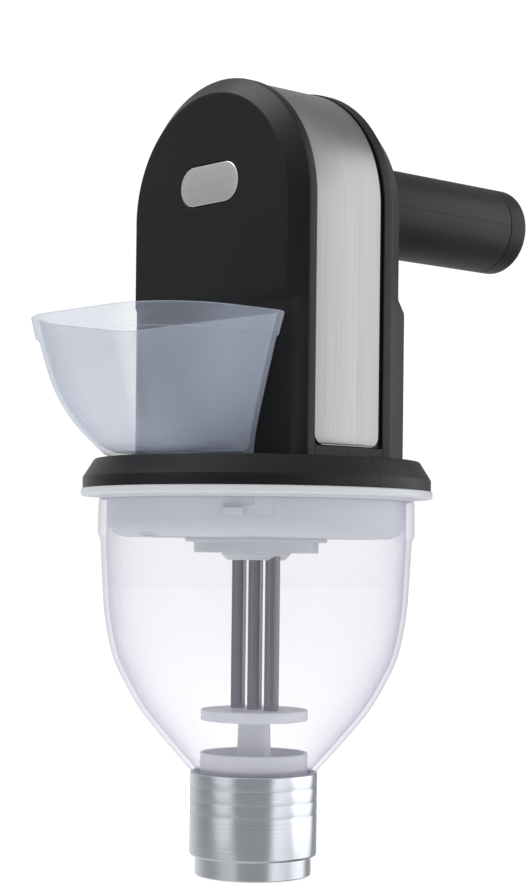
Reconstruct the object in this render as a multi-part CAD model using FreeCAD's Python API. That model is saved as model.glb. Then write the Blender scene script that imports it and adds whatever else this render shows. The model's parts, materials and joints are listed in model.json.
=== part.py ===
import FreeCAD, Part
import math
import os

# Hand-held batter mixer and dispenser: a flat arch-topped drive housing on a round base plate, a grip
# out of the back, a feed cup in front, and a clear bowl that twists on below.  In the bowl three steel
# rods carry a plunger, a disc over an open cup, that works in the metal outlet barrel.
# Millimetres.  Z is up; the origin is the centre of the outlet nozzle's lower end; the front is -Y.

V = FreeCAD.Vector
Y_AXIS = V(0, 1, 0)
Z_AXIS = V(0, 0, 1)

# ---------------------------------------------------------------- named clearances
RUN_FIT = 0.05          # running fit of a round part in its bore, on the radius
SCREW_FIT = 0.06        # screw shank in its hole, on the radius
SEAT_GAP = 0.2          # between mouldings that seat in one another
MOVE_GAP = 0.4          # between mouldings that move past one another
SHAFT_FIT = 0.02        # gear on its shaft, on the radius
BUSH_FIT = 0.03         # bush in its plate, on the radius
SEAL_FIT = 0.05         # rubber ring in its groove, each side
SCREW_ROOM = 0.2        # empty hole past a screw's tip
HEAD_RATIO = 1.9        # radius of a pan head to its screw's
SLICE = 1.0             # a cutting tool runs on past the surface by this
WIDE = 100.0            # reach of a cutting box past the whole width

# ---------------------------------------------------------------- outlet barrel
NOZZLE_R = 27.5         # lower end, the interface that goes into a ring, stand or pan hole
NOZZLE_H = 9.0
BARREL_R = 30.2
BARREL_TOP = 48.3
BORE_R = 25.55          # bore that the plunger works in
NECK_DEPTH = 14.3       # how far the bowl's neck goes down into the barrel
NECK_R_OUT = BARREL_R - 1.75
NECK_FOOT = BARREL_TOP - NECK_DEPTH
GROOVE_ZS = (BARREL_TOP - 18.7, BARREL_TOP - 12.6, BARREL_TOP - 6.1)
GROOVE_DEPTH = 0.45
GROOVE_W = 0.8
NECK_SEAL_FOOT = NECK_FOOT + 4.0
NECK_SEAL_TOP = NECK_SEAL_FOOT + 2.0
NECK_SEAL_DEPTH = 1.1

# ---------------------------------------------------------------- bowl
BOWL_WALL = 2.5
BOWL_CURVE = ((29.9, BARREL_TOP + 0.3), (42.3, 62.7), (54.0, 77.1), (62.4, 91.4), (67.9, 104.1),
              (71.6, 123.1), (73.0, 144.2), (73.8, 158.0))
RIM_R = 75.1            # thicker band of the bowl under its rim
RIM_FOOT = 160.5
RIM_TOP = 176.6
RIM_BORE_R = 71.0

# ---------------------------------------------------------------- bayonet, three times round
LUG_COUNT = 3
LOCK_ANGLE = -53.4      # closed end of the first groove
LUG_SWEEP = 7.0
TWIST = 10.5            # turn from locked to free
LUG_R = 72.8
LUG_FOOT = 168.6
LUG_H = 3.5
GROOVE_R = 73.2
BUMP_H = 0.9            # detent bump in the groove's upper edge

# ---------------------------------------------------------------- lid
FLANGE_R = 83.25
FLANGE_FOOT = 178.0
FLANGE_H = 3.6
LID_TOP = FLANGE_FOOT + FLANGE_H
COLLAR_R = 70.5
LID_WALL = 2.5
COLLAR_FOOT = 166.5
LID_FLOOR = 159.0
LID_CURVE = 8.5         # how far in from the collar the floor's rounded edge starts
FEED_Y = -52.0          # centre of the feed passage through plate and lid
FEED_R = 13.0

# ---------------------------------------------------------------- rods and their guide
ROD_R = 3.5
ROD_XS = (-12.0, 0.0, 12.0)
GUIDE_FLANGE_R = 33.7
GUIDE_FLANGE_H = 2.0
GUIDE_STEP_R = 29.6
GUIDE_STEP_FOOT = 151.9
GUIDE_TIP_R0 = 16.4
GUIDE_TIP_R1 = 13.5
GUIDE_TIP = 148.5
GUIDE_BOSS_R = 20.0
GUIDE_TOP = 190.0
SEAL_R = 5.2
SEAL_H = 3.0
GUIDE_SCREW_R = 1.5
GUIDE_SCREW_L = 4.3     # length of the screw's hold in the guide
GUIDE_SCREW_HEAD = 2.0
GUIDE_SCREW_CIRCLE = 24.5
GUIDE_SCREW_TURN = 0.9  # angle of the screws from the X axis, radians
GUIDE_SCREWS = tuple((sx * GUIDE_SCREW_CIRCLE * math.cos(GUIDE_SCREW_TURN),
                      sy * GUIDE_SCREW_CIRCLE * math.sin(GUIDE_SCREW_TURN))
                     for sx, sy in ((1, 1), (-1, 1), (-1, -1), (1, -1)))

# ---------------------------------------------------------------- plunger
STROKE = 60.0
DISC_R = BORE_R - RUN_FIT - 0.1
CUP_FOOT = BARREL_TOP - 4.3     # the cup closes the top of the bore at rest
CUP_RIM = CUP_FOOT + 13.5
DISC_FOOT = CUP_RIM + 15.2
DISC_H = 5.1
ROD_SOCKET = 4.0
STEM_TOP_R = 7.5
STEM_FOOT_R = 8.4
CUP_R = BORE_R - RUN_FIT
CUP_WALL = 1.8
CUP_FLOOR = 2.4
CUP_SEAL_Z = CUP_FOOT + 4.0
CUP_SEAL_H = 1.8
CUP_SEAL_DEPTH = 0.9

# ---------------------------------------------------------------- housing
PLATE_R = 82.5
PLATE_EDGE_H = 5.1
PLATE_TOP_R = 77.0
PLATE_TOP = 195.5
PLATE_WALL = 2.8
HOUSE_HALF = 62.0       # half the width of the arch
ARCH_Z = 311.0          # centre of the arch's half circle
FACE_INSET = 7.7        # bevel from the side to the front and rear faces, across
FRONT_Y = -32.0
FRONT_BEVEL_Y = -25.0
LOW_FRONT_Y = -29.0     # lower front, set back for the feed cup
CREASE_TOP = 270.5
CREASE_FOOT = 266.0
REAR_BEVEL_Y = 27.0
REAR_Y = 39.4
LOW_REAR_Y = 43.6       # lower rear, thicker
STEP_TOP = 271.0
STEP_FOOT = 265.0
WALL = 2.8
INNER_HALF = HOUSE_HALF - 4.0
BAND_R = HOUSE_HALF - 0.7
BAND_T = 1.0
BAND_GAP = 0.3          # round the band's front and lower edges
BAND_HALF_Y = 20.0
BAND_FOOT = 200.7
BAND_CORNER = 5.0
BAND_REAR_GAP = 1.8     # open shadow gap behind the band
BOSS_R = 8.2
BOSS_PLACES = ((HOUSE_HALF - 12.0, 218.0), (HOUSE_HALF - 12.0, 262.0), (HOUSE_HALF - 30.0, ARCH_Z + 40.0))
HOUSE_SCREW_R = 1.5
HOUSE_SCREW_HEAD_R = 2.9
HOUSE_SCREW_HEAD_H = 2.2
HOUSE_SCREW_TIP_Y = -19.5
HEAD_SEAT_Y = 34.0

# ---------------------------------------------------------------- button and board
BUTTON_X = 0.5
BUTTON_Z = 323.0
BUTTON_L = 41.0
BUTTON_W = 18.5
BUTTON_GAP = 0.7
BUTTON_PROUD = 0.4
BUTTON_TRAVEL = 1.2
BUTTON_LIP = 2.0
LIP_T = 1.3
BUTTON_NUB_Y = -26.6
BOARD_FRONT_Y = -21.5
BOARD_T = 1.6
BOARD_L = 40.0
BOARD_W = 35.0
BOARD_POST_R = 2.4
BOARD_POST_X = 16.0
BOARD_POST_Z = 14.6
BOARD_SCREW_R = 1.1
BOARD_SCREW_L = 4.5     # length of the screw's hold in its post
BOARD_SCREW_HEAD_R = 2.1
BOARD_SCREW_HEAD_H = 1.1
BOOT_R0 = 7.2           # silicone boot that pushes the button back, at the board
BOOT_R1 = 4.6           # and at the button
BOOT_WALL = 0.8
BOOT_FOOT = 1.0         # its foot's width and thickness

# ---------------------------------------------------------------- handle
CELL_R = 9.2
CELL_GAP = 0.1          # each cell from the middle
CELL_ROOM = 0.8         # the two cells from the grip's wall
GRIP_WALL = 2.5
GRIP_R = 2 * (CELL_R + CELL_GAP) + CELL_ROOM + GRIP_WALL
GRIP_PARTING = 0.05     # each half shell from the parting plane
GRIP_Z = 323.5
GRIP_END = 168.2
CAP_SEAM = 155.4
SEAM_GAP = 0.2
SPIGOT_LEN = 20.0
CELL_L = 65.0
CELL_FOOT_Y = 84.0
CONTACT_T = 1.5
PORT_HALF = 4.6         # half the width of the charging socket
PORT_H = 3.3
PORT_WALL = 0.45
PORT_FIT = 0.1

# ---------------------------------------------------------------- drive
MODULE = 1.0
ADDENDUM = 0.75 * MODULE
DEDENDUM = 1.05 * MODULE
BACKLASH = 0.12         # each tooth is thinner by this at the pitch line
PRESSURE = math.radians(20.0)
RACK_TEETH = 20         # teeth of the pinion on the rack
BIG_TEETH = 56
SMALL_TEETH = 14
WHEEL_TEETH = 48
MOTOR_TEETH = 12
RACK_X = 0.0            # the rack's pitch line
RACK_DEPTH = 6.0
OUT_Z = 270.0
MOTOR_X = -30.0
MOTOR_Z = 318.0
MOTOR_R = 18.0
MOTOR_L = 36.0
SHAFT_R = 3.0
MOTOR_SHAFT_R = 2.0
PLATE_T = 2.0
FRONT_PLATE_Y = 18.5
REAR_PLATE_Y = 32.0
FRAME_X0 = -41.0
FRAME_X1 = 40.0
FRAME_FOOT = 197.0
FRAME_TOP = 342.0
GEAR_W = 4.0
BIG_Y = 21.5
WHEEL_Y = 27.0
PINION_Y = 9.2
PINION_W = 7.4
BUSH_R = 5.0
FRAME_SCREW_R = 1.5
FRAME_SCREW_REST = 1.4  # tip of a frame screw, inside the rear face
MOTOR_BOSS_R = 5.0
MOTOR_SCREW_R = 1.4
MOTOR_SCREW_X = 12.0
MOTOR_SCREW_L = 4.8
MOTOR_SCREW_HEAD_R = 2.4
MOTOR_SCREW_HEAD_H = 1.2
PILLAR_R = 4.0
PILLAR_INSET = 4.0
CROSS_HALF = 27.0
CROSS_HALF_Y = 8.0
CROSS_FOOT = 263.0
CROSS_H = 12.0
RACK_L = STROKE + 16.0
RAIL_R = 3.0
RAIL_X = 21.0
BLOCK_HALF = 30.0
BLOCK_H = 4.5
TOP_BLOCK_Z = 283.5

# ---------------------------------------------------------------- feed cup
CUP_BACK_Y = -33.0
CUP_BACK_CORNER = 10.0
HOPPER_WALL = 2.2
HOPPER_TOP = 258.8
BAND_STEP = 1.3         # the rim band stands out by this
RIM_SPREAD = 4.0        # the mouth is wider than the band's foot by this, each side
# height above the plate, half width, depth from the back, front corner radius
HOPPER_LEVELS = ((0.2, 41.0, 40.5, 30.0), (9.0, 42.3, 52.0, 31.5), (18.0, 44.6, 61.0, 33.0),
                 (32.0, 49.0, 68.5, 35.0), (53.0, 55.8, 72.6, 37.0))
NECK_R = 13.6
NECK_WALL = 1.8
NECK_LEN = 11.0
NECK_COLLAR_T = 2.2     # wall of the collar in the plate that the neck drops into


def save(node, shape):
    """Writes one node; a list of solids becomes one group."""
    if isinstance(shape, (list, tuple)):
        shape = Part.makeCompound(list(shape))
    shape.exportStep("parts/%s.step" % node)
    return shape


def box(x0, x1, y0, y1, z0, z1):
    return Part.makeBox(x1 - x0, y1 - y0, z1 - z0, V(x0, y0, z0))


def rod_z(radius, z0, z1, x=0.0, y=0.0):
    return Part.makeCylinder(radius, z1 - z0, V(x, y, z0), Z_AXIS)


def rod_y(radius, y0, y1, x=0.0, z=0.0):
    return Part.makeCylinder(radius, y1 - y0, V(x, y0, z), Y_AXIS)


def turned(points):
    """Solid of revolution about Z from (radius, height) points."""
    corners = [V(r, 0, z) for r, z in points]
    face = Part.Face(Part.makePolygon(corners + corners[:1]))
    return face.revolve(V(0, 0, 0), Z_AXIS, 360)


def side_prism(points):
    """Prism across the whole width with the outline of (y, z) points."""
    corners = [V(-WIDE, y, z) for y, z in points]
    return Part.Face(Part.makePolygon(corners + corners[:1])).extrude(V(2 * WIDE, 0, 0))


def join(shapes):
    first = shapes[0]
    return first.fuse(list(shapes[1:])).removeSplitter() if len(shapes) > 1 else first


def loft(wires, ruled):
    """Solid through closed outlines, turned right side out."""
    solid = Part.makeLoft(wires, True, ruled)
    if solid.Volume < 0:
        solid.reverse()
    return solid


def arch_wire(half, y, foot):
    """Arch outline across the housing: straight sides and a half circle."""
    left = V(-half, y, ARCH_Z)
    right = V(half, y, ARCH_Z)
    crown = V(0, y, ARCH_Z + half)
    edges = [Part.LineSegment(V(-half, y, foot), left).toShape(),
             Part.Arc(left, V(-half * math.sqrt(0.5), y, ARCH_Z + half * math.sqrt(0.5)), crown).toShape(),
             Part.Arc(crown, V(half * math.sqrt(0.5), y, ARCH_Z + half * math.sqrt(0.5)), right).toShape(),
             Part.LineSegment(right, V(half, y, foot)).toShape(),
             Part.LineSegment(V(half, y, foot), V(-half, y, foot)).toShape()]
    return Part.Wire(edges)


def arch(half, y0, y1, foot):
    return Part.Face(arch_wire(half, y0, foot)).extrude(V(0, y1 - y0, 0))


def arch_taper(half0, y0, half1, y1, foot):
    return loft([arch_wire(half0, y0, foot), arch_wire(half1, y1, foot)], True)


def stadium(length, width, y0, y1):
    """Oblong with round ends, long side across, at the button's place."""
    r = width / 2
    run = length / 2 - r
    middle = box(BUTTON_X - run, BUTTON_X + run, y0, y1, BUTTON_Z - r, BUTTON_Z + r)
    ends = [rod_y(r, y0, y1, BUTTON_X + side * run, BUTTON_Z) for side in (-1, 1)]
    return join([middle] + ends)


def wedge_ring(r0, r1, z0, z1, start, sweep):
    """Part of a ring between two angles, in degrees from +X."""
    outer = Part.makeCylinder(r1, z1 - z0, V(0, 0, z0), Z_AXIS, sweep)
    inner = Part.makeCylinder(r0, z1 - z0 + 2, V(0, 0, z0 - 1), Z_AXIS)
    piece = outer.cut(inner)
    piece.rotate(V(0, 0, 0), Z_AXIS, start)
    return piece


# ================================================================ outlet barrel and bowl

def make_barrel():
    """Turned outlet: nozzle, rounded shoulder, grooved barrel, counterbored for the bowl's neck."""
    body = rod_z(BARREL_R, NOZZLE_H, BARREL_TOP).fuse(rod_z(NOZZLE_R, 0, NOZZLE_H + 1))
    shoulder = [e for e in body.Edges
                if abs(e.BoundBox.ZMin - NOZZLE_H) < 0.01 and e.BoundBox.XMax > BARREL_R - 0.01
                and e.BoundBox.ZLength < 0.01]
    body = body.makeFillet((BARREL_R - NOZZLE_R) * 0.9, shoulder)
    body = body.cut(rod_z(BORE_R, -1, BARREL_TOP + 1))
    body = body.cut(rod_z(NECK_R_OUT + RUN_FIT, NECK_FOOT - SEAT_GAP, BARREL_TOP + 1))
    for z in GROOVE_ZS:
        ring = rod_z(BARREL_R + 1, z - GROOVE_W / 2, z + GROOVE_W / 2)
        ring = ring.cut(rod_z(BARREL_R - GROOVE_DEPTH, z - 1, z + 1))
        body = body.cut(ring)
    return body


def bowl_profile():
    """Closed half section: outer curve up, rim band, inner curve back down, neck."""
    outer = [V(r, 0, z) for r, z in BOWL_CURVE]
    inner = []
    for i, p in enumerate(outer):
        a = outer[max(i - 1, 0)]
        b = outer[min(i + 1, len(outer) - 1)]
        tangent = b.sub(a).normalize()
        inner.append(p.add(V(-tangent.z, 0, tangent.x).multiply(BOWL_WALL)))
    inner = [p for p in inner if p.x > BORE_R + 2]
    inner.insert(0, V(BORE_R, 0, BARREL_TOP + 0.8))
    outer_curve = Part.BSplineCurve()
    outer_curve.interpolate(outer)
    inner_curve = Part.BSplineCurve()
    inner_curve.interpolate(inner)
    top = inner[-1]
    stops = [outer[-1], V(RIM_R, 0, RIM_FOOT), V(RIM_R - 0.3, 0, RIM_TOP), V(RIM_BORE_R, 0, RIM_TOP),
             V(RIM_BORE_R, 0, RIM_FOOT + 1), top]
    edges = [outer_curve.toShape()]
    edges += [Part.makeLine(a, b) for a, b in zip(stops, stops[1:])]
    edges.append(inner_curve.toShape())
    neck = [inner[0], V(BORE_R, 0, NECK_FOOT), V(NECK_R_OUT, 0, NECK_FOOT),
            V(NECK_R_OUT, 0, BARREL_TOP + 0.3), outer[0]]
    edges += [Part.makeLine(a, b) for a, b in zip(neck, neck[1:])]
    return Part.Face(Part.Wire(Part.__sortEdges__(edges)))


def make_bowl():
    """Clear bowl with the neck that seats in the barrel and three L-shaped bayonet grooves."""
    body = bowl_profile().revolve(V(0, 0, 0), Z_AXIS, 360)
    groove_top = LUG_FOOT + LUG_H + BUMP_H + 0.3
    for k in range(LUG_COUNT):
        start = LOCK_ANGLE + 360.0 * k / LUG_COUNT
        run = wedge_ring(RIM_BORE_R - 1, GROOVE_R, LUG_FOOT - MOVE_GAP, groove_top,
                         start, LUG_SWEEP + TWIST + 0.7)
        entry = wedge_ring(RIM_BORE_R - 1, GROOVE_R, LUG_FOOT - MOVE_GAP, RIM_TOP + 1,
                           start + TWIST + 0.2, LUG_SWEEP + 0.5)
        bump = wedge_ring(RIM_BORE_R, GROOVE_R + 0.5, groove_top - BUMP_H, groove_top + 0.5,
                          start + LUG_SWEEP + 1.0, 1.2)
        body = body.cut(run.fuse(entry)).fuse(bump)
    ring = rod_z(NECK_R_OUT + SLICE, NECK_SEAL_FOOT, NECK_SEAL_TOP)
    core = rod_z(NECK_R_OUT - NECK_SEAL_DEPTH, NECK_SEAL_FOOT, NECK_SEAL_TOP)
    return body.cut(ring.cut(core))


def make_barrel_seal():
    outer = rod_z(NECK_R_OUT - SHAFT_FIT, NECK_SEAL_FOOT + SEAL_FIT, NECK_SEAL_TOP - SEAL_FIT)
    return outer.cut(rod_z(NECK_R_OUT - NECK_SEAL_DEPTH + SEAL_FIT, NECK_SEAL_FOOT, NECK_SEAL_TOP))


# ================================================================ lid, guide and seals

def make_lid():
    """White lid: flange over the bowl's rim, collar inside it, floor with the feed passage, lugs."""
    inner = COLLAR_R - LID_WALL
    floor_top = LID_FLOOR + LID_WALL
    body = turned([(GUIDE_BOSS_R + SEAT_GAP, LID_FLOOR), (COLLAR_R - LID_CURVE, LID_FLOOR),
                   (COLLAR_R - LID_CURVE * 0.35, LID_FLOOR + 2.2), (COLLAR_R, COLLAR_FOOT),
                   (COLLAR_R, FLANGE_FOOT), (FLANGE_R, FLANGE_FOOT), (FLANGE_R, LID_TOP), (inner, LID_TOP),
                   (inner, COLLAR_FOOT + 1), (COLLAR_R - LID_CURVE, floor_top),
                   (GUIDE_BOSS_R + SEAT_GAP, floor_top)])
    chute = rod_z(FEED_R + LID_WALL, LID_FLOOR + 0.5, LID_TOP, 0, FEED_Y)
    body = body.fuse(chute).cut(rod_z(FEED_R, LID_FLOOR - 1, LID_TOP + 1, 0, FEED_Y))
    for k in range(LUG_COUNT):
        start = LOCK_ANGLE + 0.4 + 360.0 * k / LUG_COUNT
        body = body.fuse(wedge_ring(COLLAR_R - 1, LUG_R, LUG_FOOT, LUG_FOOT + LUG_H, start, LUG_SWEEP))
    for x, y in GUIDE_SCREWS:
        body = body.cut(rod_z(GUIDE_SCREW_R + SCREW_FIT, LID_FLOOR - 1, floor_top + 1, x, y))
    return body.removeSplitter()


def make_rod_guide():
    """Hub under the lid that the rods slide in, with a boss up through the lid."""
    body = turned([(0, GUIDE_TIP), (GUIDE_TIP_R1, GUIDE_TIP), (GUIDE_TIP_R0, GUIDE_STEP_FOOT - 0.7),
                   (GUIDE_TIP_R0, GUIDE_STEP_FOOT), (GUIDE_STEP_R, GUIDE_STEP_FOOT),
                   (GUIDE_STEP_R, LID_FLOOR - GUIDE_FLANGE_H), (GUIDE_FLANGE_R, LID_FLOOR - GUIDE_FLANGE_H),
                   (GUIDE_FLANGE_R, LID_FLOOR), (GUIDE_BOSS_R, LID_FLOOR), (GUIDE_BOSS_R, GUIDE_TOP),
                   (0, GUIDE_TOP)])
    feed = rod_z(FEED_R, GUIDE_TIP - 1, LID_FLOOR + 1, 0, FEED_Y)
    body = body.cut(feed)
    for x in ROD_XS:
        body = body.cut(rod_z(ROD_R + RUN_FIT, GUIDE_TIP - 1, GUIDE_TOP + 1, x))
        body = body.cut(rod_z(SEAL_R + RUN_FIT, GUIDE_TOP - SEAL_H, GUIDE_TOP + 1, x))
    for x, y in GUIDE_SCREWS:
        foot = LID_FLOOR - GUIDE_SCREW_L - SCREW_ROOM
        body = body.cut(rod_z(GUIDE_SCREW_R + SCREW_FIT, foot, LID_FLOOR + SLICE, x, y))
    return body


def make_rod_seals():
    foot = GUIDE_TOP - SEAL_H + SEAL_FIT
    return [rod_z(SEAL_R, foot, GUIDE_TOP, x).cut(rod_z(ROD_R + RUN_FIT, foot - 1, GUIDE_TOP + 1, x))
            for x in ROD_XS]


def make_guide_screws():
    top = LID_FLOOR + LID_WALL
    return [rod_z(GUIDE_SCREW_R, LID_FLOOR - GUIDE_SCREW_L, top, x, y).fuse(
        rod_z(GUIDE_SCREW_R * HEAD_RATIO, top, top + GUIDE_SCREW_HEAD, x, y)) for x, y in GUIDE_SCREWS]


def make_bowl_gasket():
    foot = RIM_TOP + 0.15
    return rod_z(RIM_R - 0.6, foot, FLANGE_FOOT).cut(rod_z(RIM_BORE_R + 0.3, foot - 1, FLANGE_FOOT + 1))


# ================================================================ plunger and rods

def make_disc():
    body = rod_z(DISC_R, DISC_FOOT, DISC_FOOT + DISC_H)
    rims = [e for e in body.Edges if e.Closed and e.BoundBox.ZLength < 0.01]
    body = body.makeFillet(0.5, rims)
    for x in ROD_XS:
        body = body.cut(rod_z(ROD_R + RUN_FIT, DISC_FOOT + DISC_H - ROD_SOCKET, DISC_FOOT + DISC_H + 1, x))
    return body


def make_stem():
    foot = CUP_FOOT + CUP_FLOOR
    return Part.makeCone(STEM_FOOT_R, STEM_TOP_R, DISC_FOOT - foot, V(0, 0, foot), Z_AXIS)


def make_cup():
    """Open-topped cup that closes the outlet at rest, with a ring groove."""
    body = rod_z(CUP_R, CUP_FOOT, CUP_RIM)
    lower = [e for e in body.Edges if e.Closed and abs(e.BoundBox.ZMax - CUP_FOOT) < 0.01]
    body = body.makeFillet(1.5, lower)
    body = body.cut(rod_z(CUP_R - CUP_WALL, CUP_FOOT + CUP_FLOOR, CUP_RIM + 1))
    ring = rod_z(CUP_R + 1, CUP_SEAL_Z, CUP_SEAL_Z + CUP_SEAL_H)
    return body.cut(ring.cut(rod_z(CUP_R - CUP_SEAL_DEPTH, CUP_SEAL_Z, CUP_SEAL_Z + CUP_SEAL_H)))


def make_cup_seal():
    foot = CUP_SEAL_Z + SEAL_FIT
    top = CUP_SEAL_Z + CUP_SEAL_H - SEAL_FIT
    return rod_z(CUP_R, foot, top).cut(rod_z(CUP_R - CUP_SEAL_DEPTH + SEAL_FIT, foot - SLICE, top + SLICE))


def make_rods():
    foot = DISC_FOOT + DISC_H - ROD_SOCKET
    return [rod_z(ROD_R, foot, CROSS_FOOT + CROSS_H - 2, x) for x in ROD_XS]


# ================================================================ drive: crosshead, rails, frame, gears

def make_crosshead():
    body = box(-CROSS_HALF, CROSS_HALF, -CROSS_HALF_Y, CROSS_HALF_Y, CROSS_FOOT, CROSS_FOOT + CROSS_H)
    for x in ROD_XS:
        body = body.cut(rod_z(ROD_R + RUN_FIT, CROSS_FOOT - 1, CROSS_FOOT + CROSS_H - 2, x))
    for x in (-RAIL_X, RAIL_X):
        body = body.cut(rod_z(RAIL_R + RUN_FIT, CROSS_FOOT - 1, CROSS_FOOT + CROSS_H + 1, x))
    return body


def make_rails():
    return [rod_z(RAIL_R, FRAME_FOOT, TOP_BLOCK_Z + BLOCK_H, x) for x in (-RAIL_X, RAIL_X)]


def make_rail_block(foot, is_top):
    body = box(-BLOCK_HALF, BLOCK_HALF, -CROSS_HALF_Y, FRONT_PLATE_Y, foot, foot + BLOCK_H)
    for x in (-RAIL_X, RAIL_X):
        body = body.cut(rod_z(RAIL_R + RUN_FIT, foot - 1, foot + BLOCK_H + 1, x))
    if is_top:
        slot = box(RACK_X - RACK_DEPTH - 2, RACK_X + 3, CROSS_HALF_Y - 1, FRONT_PLATE_Y + SLICE,
                   foot - SLICE, foot + BLOCK_H + SLICE)
        return body.cut(slot)
    for x in ROD_XS:
        body = body.cut(rod_z(ROD_R + MOVE_GAP, foot - 1, foot + BLOCK_H + 1, x))
    return body


def involute_flank(teeth, half_angle):
    """Points of one flank from root to tip, for a tooth centred on angle 0."""
    pitch = teeth * MODULE / 2
    base = pitch * math.cos(PRESSURE)
    root = pitch - DEDENDUM
    tip = pitch + ADDENDUM
    spread = math.tan(PRESSURE) - PRESSURE
    points = [] if root >= base else [(root, half_angle + spread)]
    start = max(base, root)
    for i in range(6):
        r = start + (tip - start) * i / 5
        a = math.acos(min(1.0, base / r))
        points.append((r, half_angle + spread - (math.tan(a) - a)))
    return points


def gear(teeth, x, z, y0, width, tooth_at, bore=0.0):
    """Spur gear about Y with one tooth centred on the angle tooth_at (radians, from +X towards +Z)."""
    pitch = teeth * MODULE / 2
    half = math.pi / (2 * teeth) - BACKLASH / (2 * pitch)
    flank = involute_flank(teeth, half)
    outline = []
    for k in range(teeth):
        middle = tooth_at + 2 * math.pi * k / teeth
        rising = [(r, middle - a) for r, a in flank]
        falling = [(r, middle + a) for r, a in reversed(flank)]
        outline += rising + falling
    corners = [V(x + r * math.cos(a), y0, z + r * math.sin(a)) for r, a in outline]
    body = Part.Face(Part.makePolygon(corners + corners[:1])).extrude(V(0, width, 0))
    if bore:
        body = body.cut(rod_y(bore, y0 - 1, y0 + width + 1, x, z))
    return body


OUT_X = RACK_X + RACK_TEETH * MODULE / 2
MID_REACH = (BIG_TEETH + SMALL_TEETH) * MODULE / 2
MOTOR_REACH = (WHEEL_TEETH + MOTOR_TEETH) * MODULE / 2
SPAN = math.hypot(MOTOR_X - OUT_X, MOTOR_Z - OUT_Z)
ALONG = (MID_REACH ** 2 - MOTOR_REACH ** 2 + SPAN ** 2) / (2 * SPAN)
ASIDE = math.sqrt(MID_REACH ** 2 - ALONG ** 2)
UX = (MOTOR_X - OUT_X) / SPAN
UZ = (MOTOR_Z - OUT_Z) / SPAN
MID_X = OUT_X + ALONG * UX - ASIDE * UZ
MID_Z = OUT_Z + ALONG * UZ + ASIDE * UX


def mesh_phase(teeth_a, at_a, teeth_b, toward_b):
    """Angle of a tooth of gear b so that it meshes with gear a, given a's tooth angle and b's direction."""
    pitch_a = 2 * math.pi / teeth_a
    offset = (toward_b - at_a) / pitch_a
    fraction = offset - math.floor(offset)
    return toward_b + math.pi + (fraction + 0.5) * 2 * math.pi / teeth_b


MID_FROM_OUT = math.atan2(MID_Z - OUT_Z, MID_X - OUT_X)
MOTOR_FROM_MID = math.atan2(MOTOR_Z - MID_Z, MOTOR_X - MID_X)
BIG_PHASE = 0.0
SMALL_PHASE = mesh_phase(BIG_TEETH, BIG_PHASE, SMALL_TEETH, MID_FROM_OUT)
WHEEL_PHASE = 0.0
MOTOR_PHASE = mesh_phase(WHEEL_TEETH, WHEEL_PHASE, MOTOR_TEETH, MOTOR_FROM_MID)


def make_rack():
    """Straight rack on the back of the crosshead; a gap faces the pinion's tooth at rest."""
    pitch = math.pi * MODULE
    top_x = RACK_X + ADDENDUM
    root_x = RACK_X - DEDENDUM
    half = pitch / 4 - BACKLASH / 2
    slope = math.tan(PRESSURE)
    z0 = CROSS_FOOT
    z1 = CROSS_FOOT + RACK_L
    outline = [(RACK_X - RACK_DEPTH, z0), (root_x, z0)]
    first = math.ceil((z0 + half + slope - OUT_Z) / pitch - 0.5)
    last = math.floor((z1 - half - slope - OUT_Z) / pitch - 0.5)
    for k in range(first, last + 1):
        middle = OUT_Z + (k + 0.5) * pitch
        outline += [(root_x, middle - half - DEDENDUM * slope), (top_x, middle - half + ADDENDUM * slope),
                    (top_x, middle + half - ADDENDUM * slope), (root_x, middle + half + DEDENDUM * slope)]
    outline += [(root_x, z1), (RACK_X - RACK_DEPTH, z1)]
    corners = [V(x, CROSS_HALF_Y, z) for x, z in outline]
    width = PINION_Y + PINION_W - CROSS_HALF_Y
    return Part.Face(Part.makePolygon(corners + corners[:1])).extrude(V(0, width, 0))


def pillar_places():
    xs = (FRAME_X0 + PILLAR_INSET, FRAME_X1 - PILLAR_INSET)
    zs = (FRAME_FOOT + 11, FRAME_TOP - PILLAR_INSET)
    return [(x, z) for x in xs for z in zs]


def make_frame_plate(y0):
    body = box(FRAME_X0, FRAME_X1, y0, y0 + PLATE_T, FRAME_FOOT, FRAME_TOP)
    for x, z in pillar_places():
        body = body.cut(rod_y(FRAME_SCREW_R + SCREW_FIT, y0 - 1, y0 + PLATE_T + 1, x, z))
    for x, z in ((OUT_X, OUT_Z), (MID_X, MID_Z)):
        body = body.cut(rod_y(BUSH_R, y0 - 1, y0 + PLATE_T + 1, x, z))
    if y0 == FRONT_PLATE_Y:
        body = body.cut(rod_y(MOTOR_BOSS_R + SEAT_GAP, y0 - 1, y0 + PLATE_T + 1, MOTOR_X, MOTOR_Z))
        for x, z in motor_screw_places():
            body = body.cut(rod_y(MOTOR_SCREW_R + SCREW_FIT, y0 - 1, y0 + PLATE_T + 1, x, z))
    return body


def motor_screw_places():
    return [(MOTOR_X + side * MOTOR_SCREW_X, MOTOR_Z) for side in (-1, 1)]


def make_bushes():
    solids = []
    for x, z in ((OUT_X, OUT_Z), (MID_X, MID_Z)):
        for y0 in (FRONT_PLATE_Y, REAR_PLATE_Y):
            ring = rod_y(BUSH_R - BUSH_FIT, y0, y0 + PLATE_T, x, z)
            solids.append(ring.cut(rod_y(SHAFT_R + RUN_FIT, y0 - 1, y0 + PLATE_T + 1, x, z)))
    return solids


def make_pillars():
    solids = []
    for x, z in pillar_places():
        tube = rod_y(PILLAR_R, FRONT_PLATE_Y + PLATE_T, REAR_PLATE_Y, x, z)
        solids.append(tube.cut(rod_y(FRAME_SCREW_R + SCREW_FIT, FRONT_PLATE_Y, REAR_PLATE_Y + 1, x, z)))
    return solids


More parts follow.
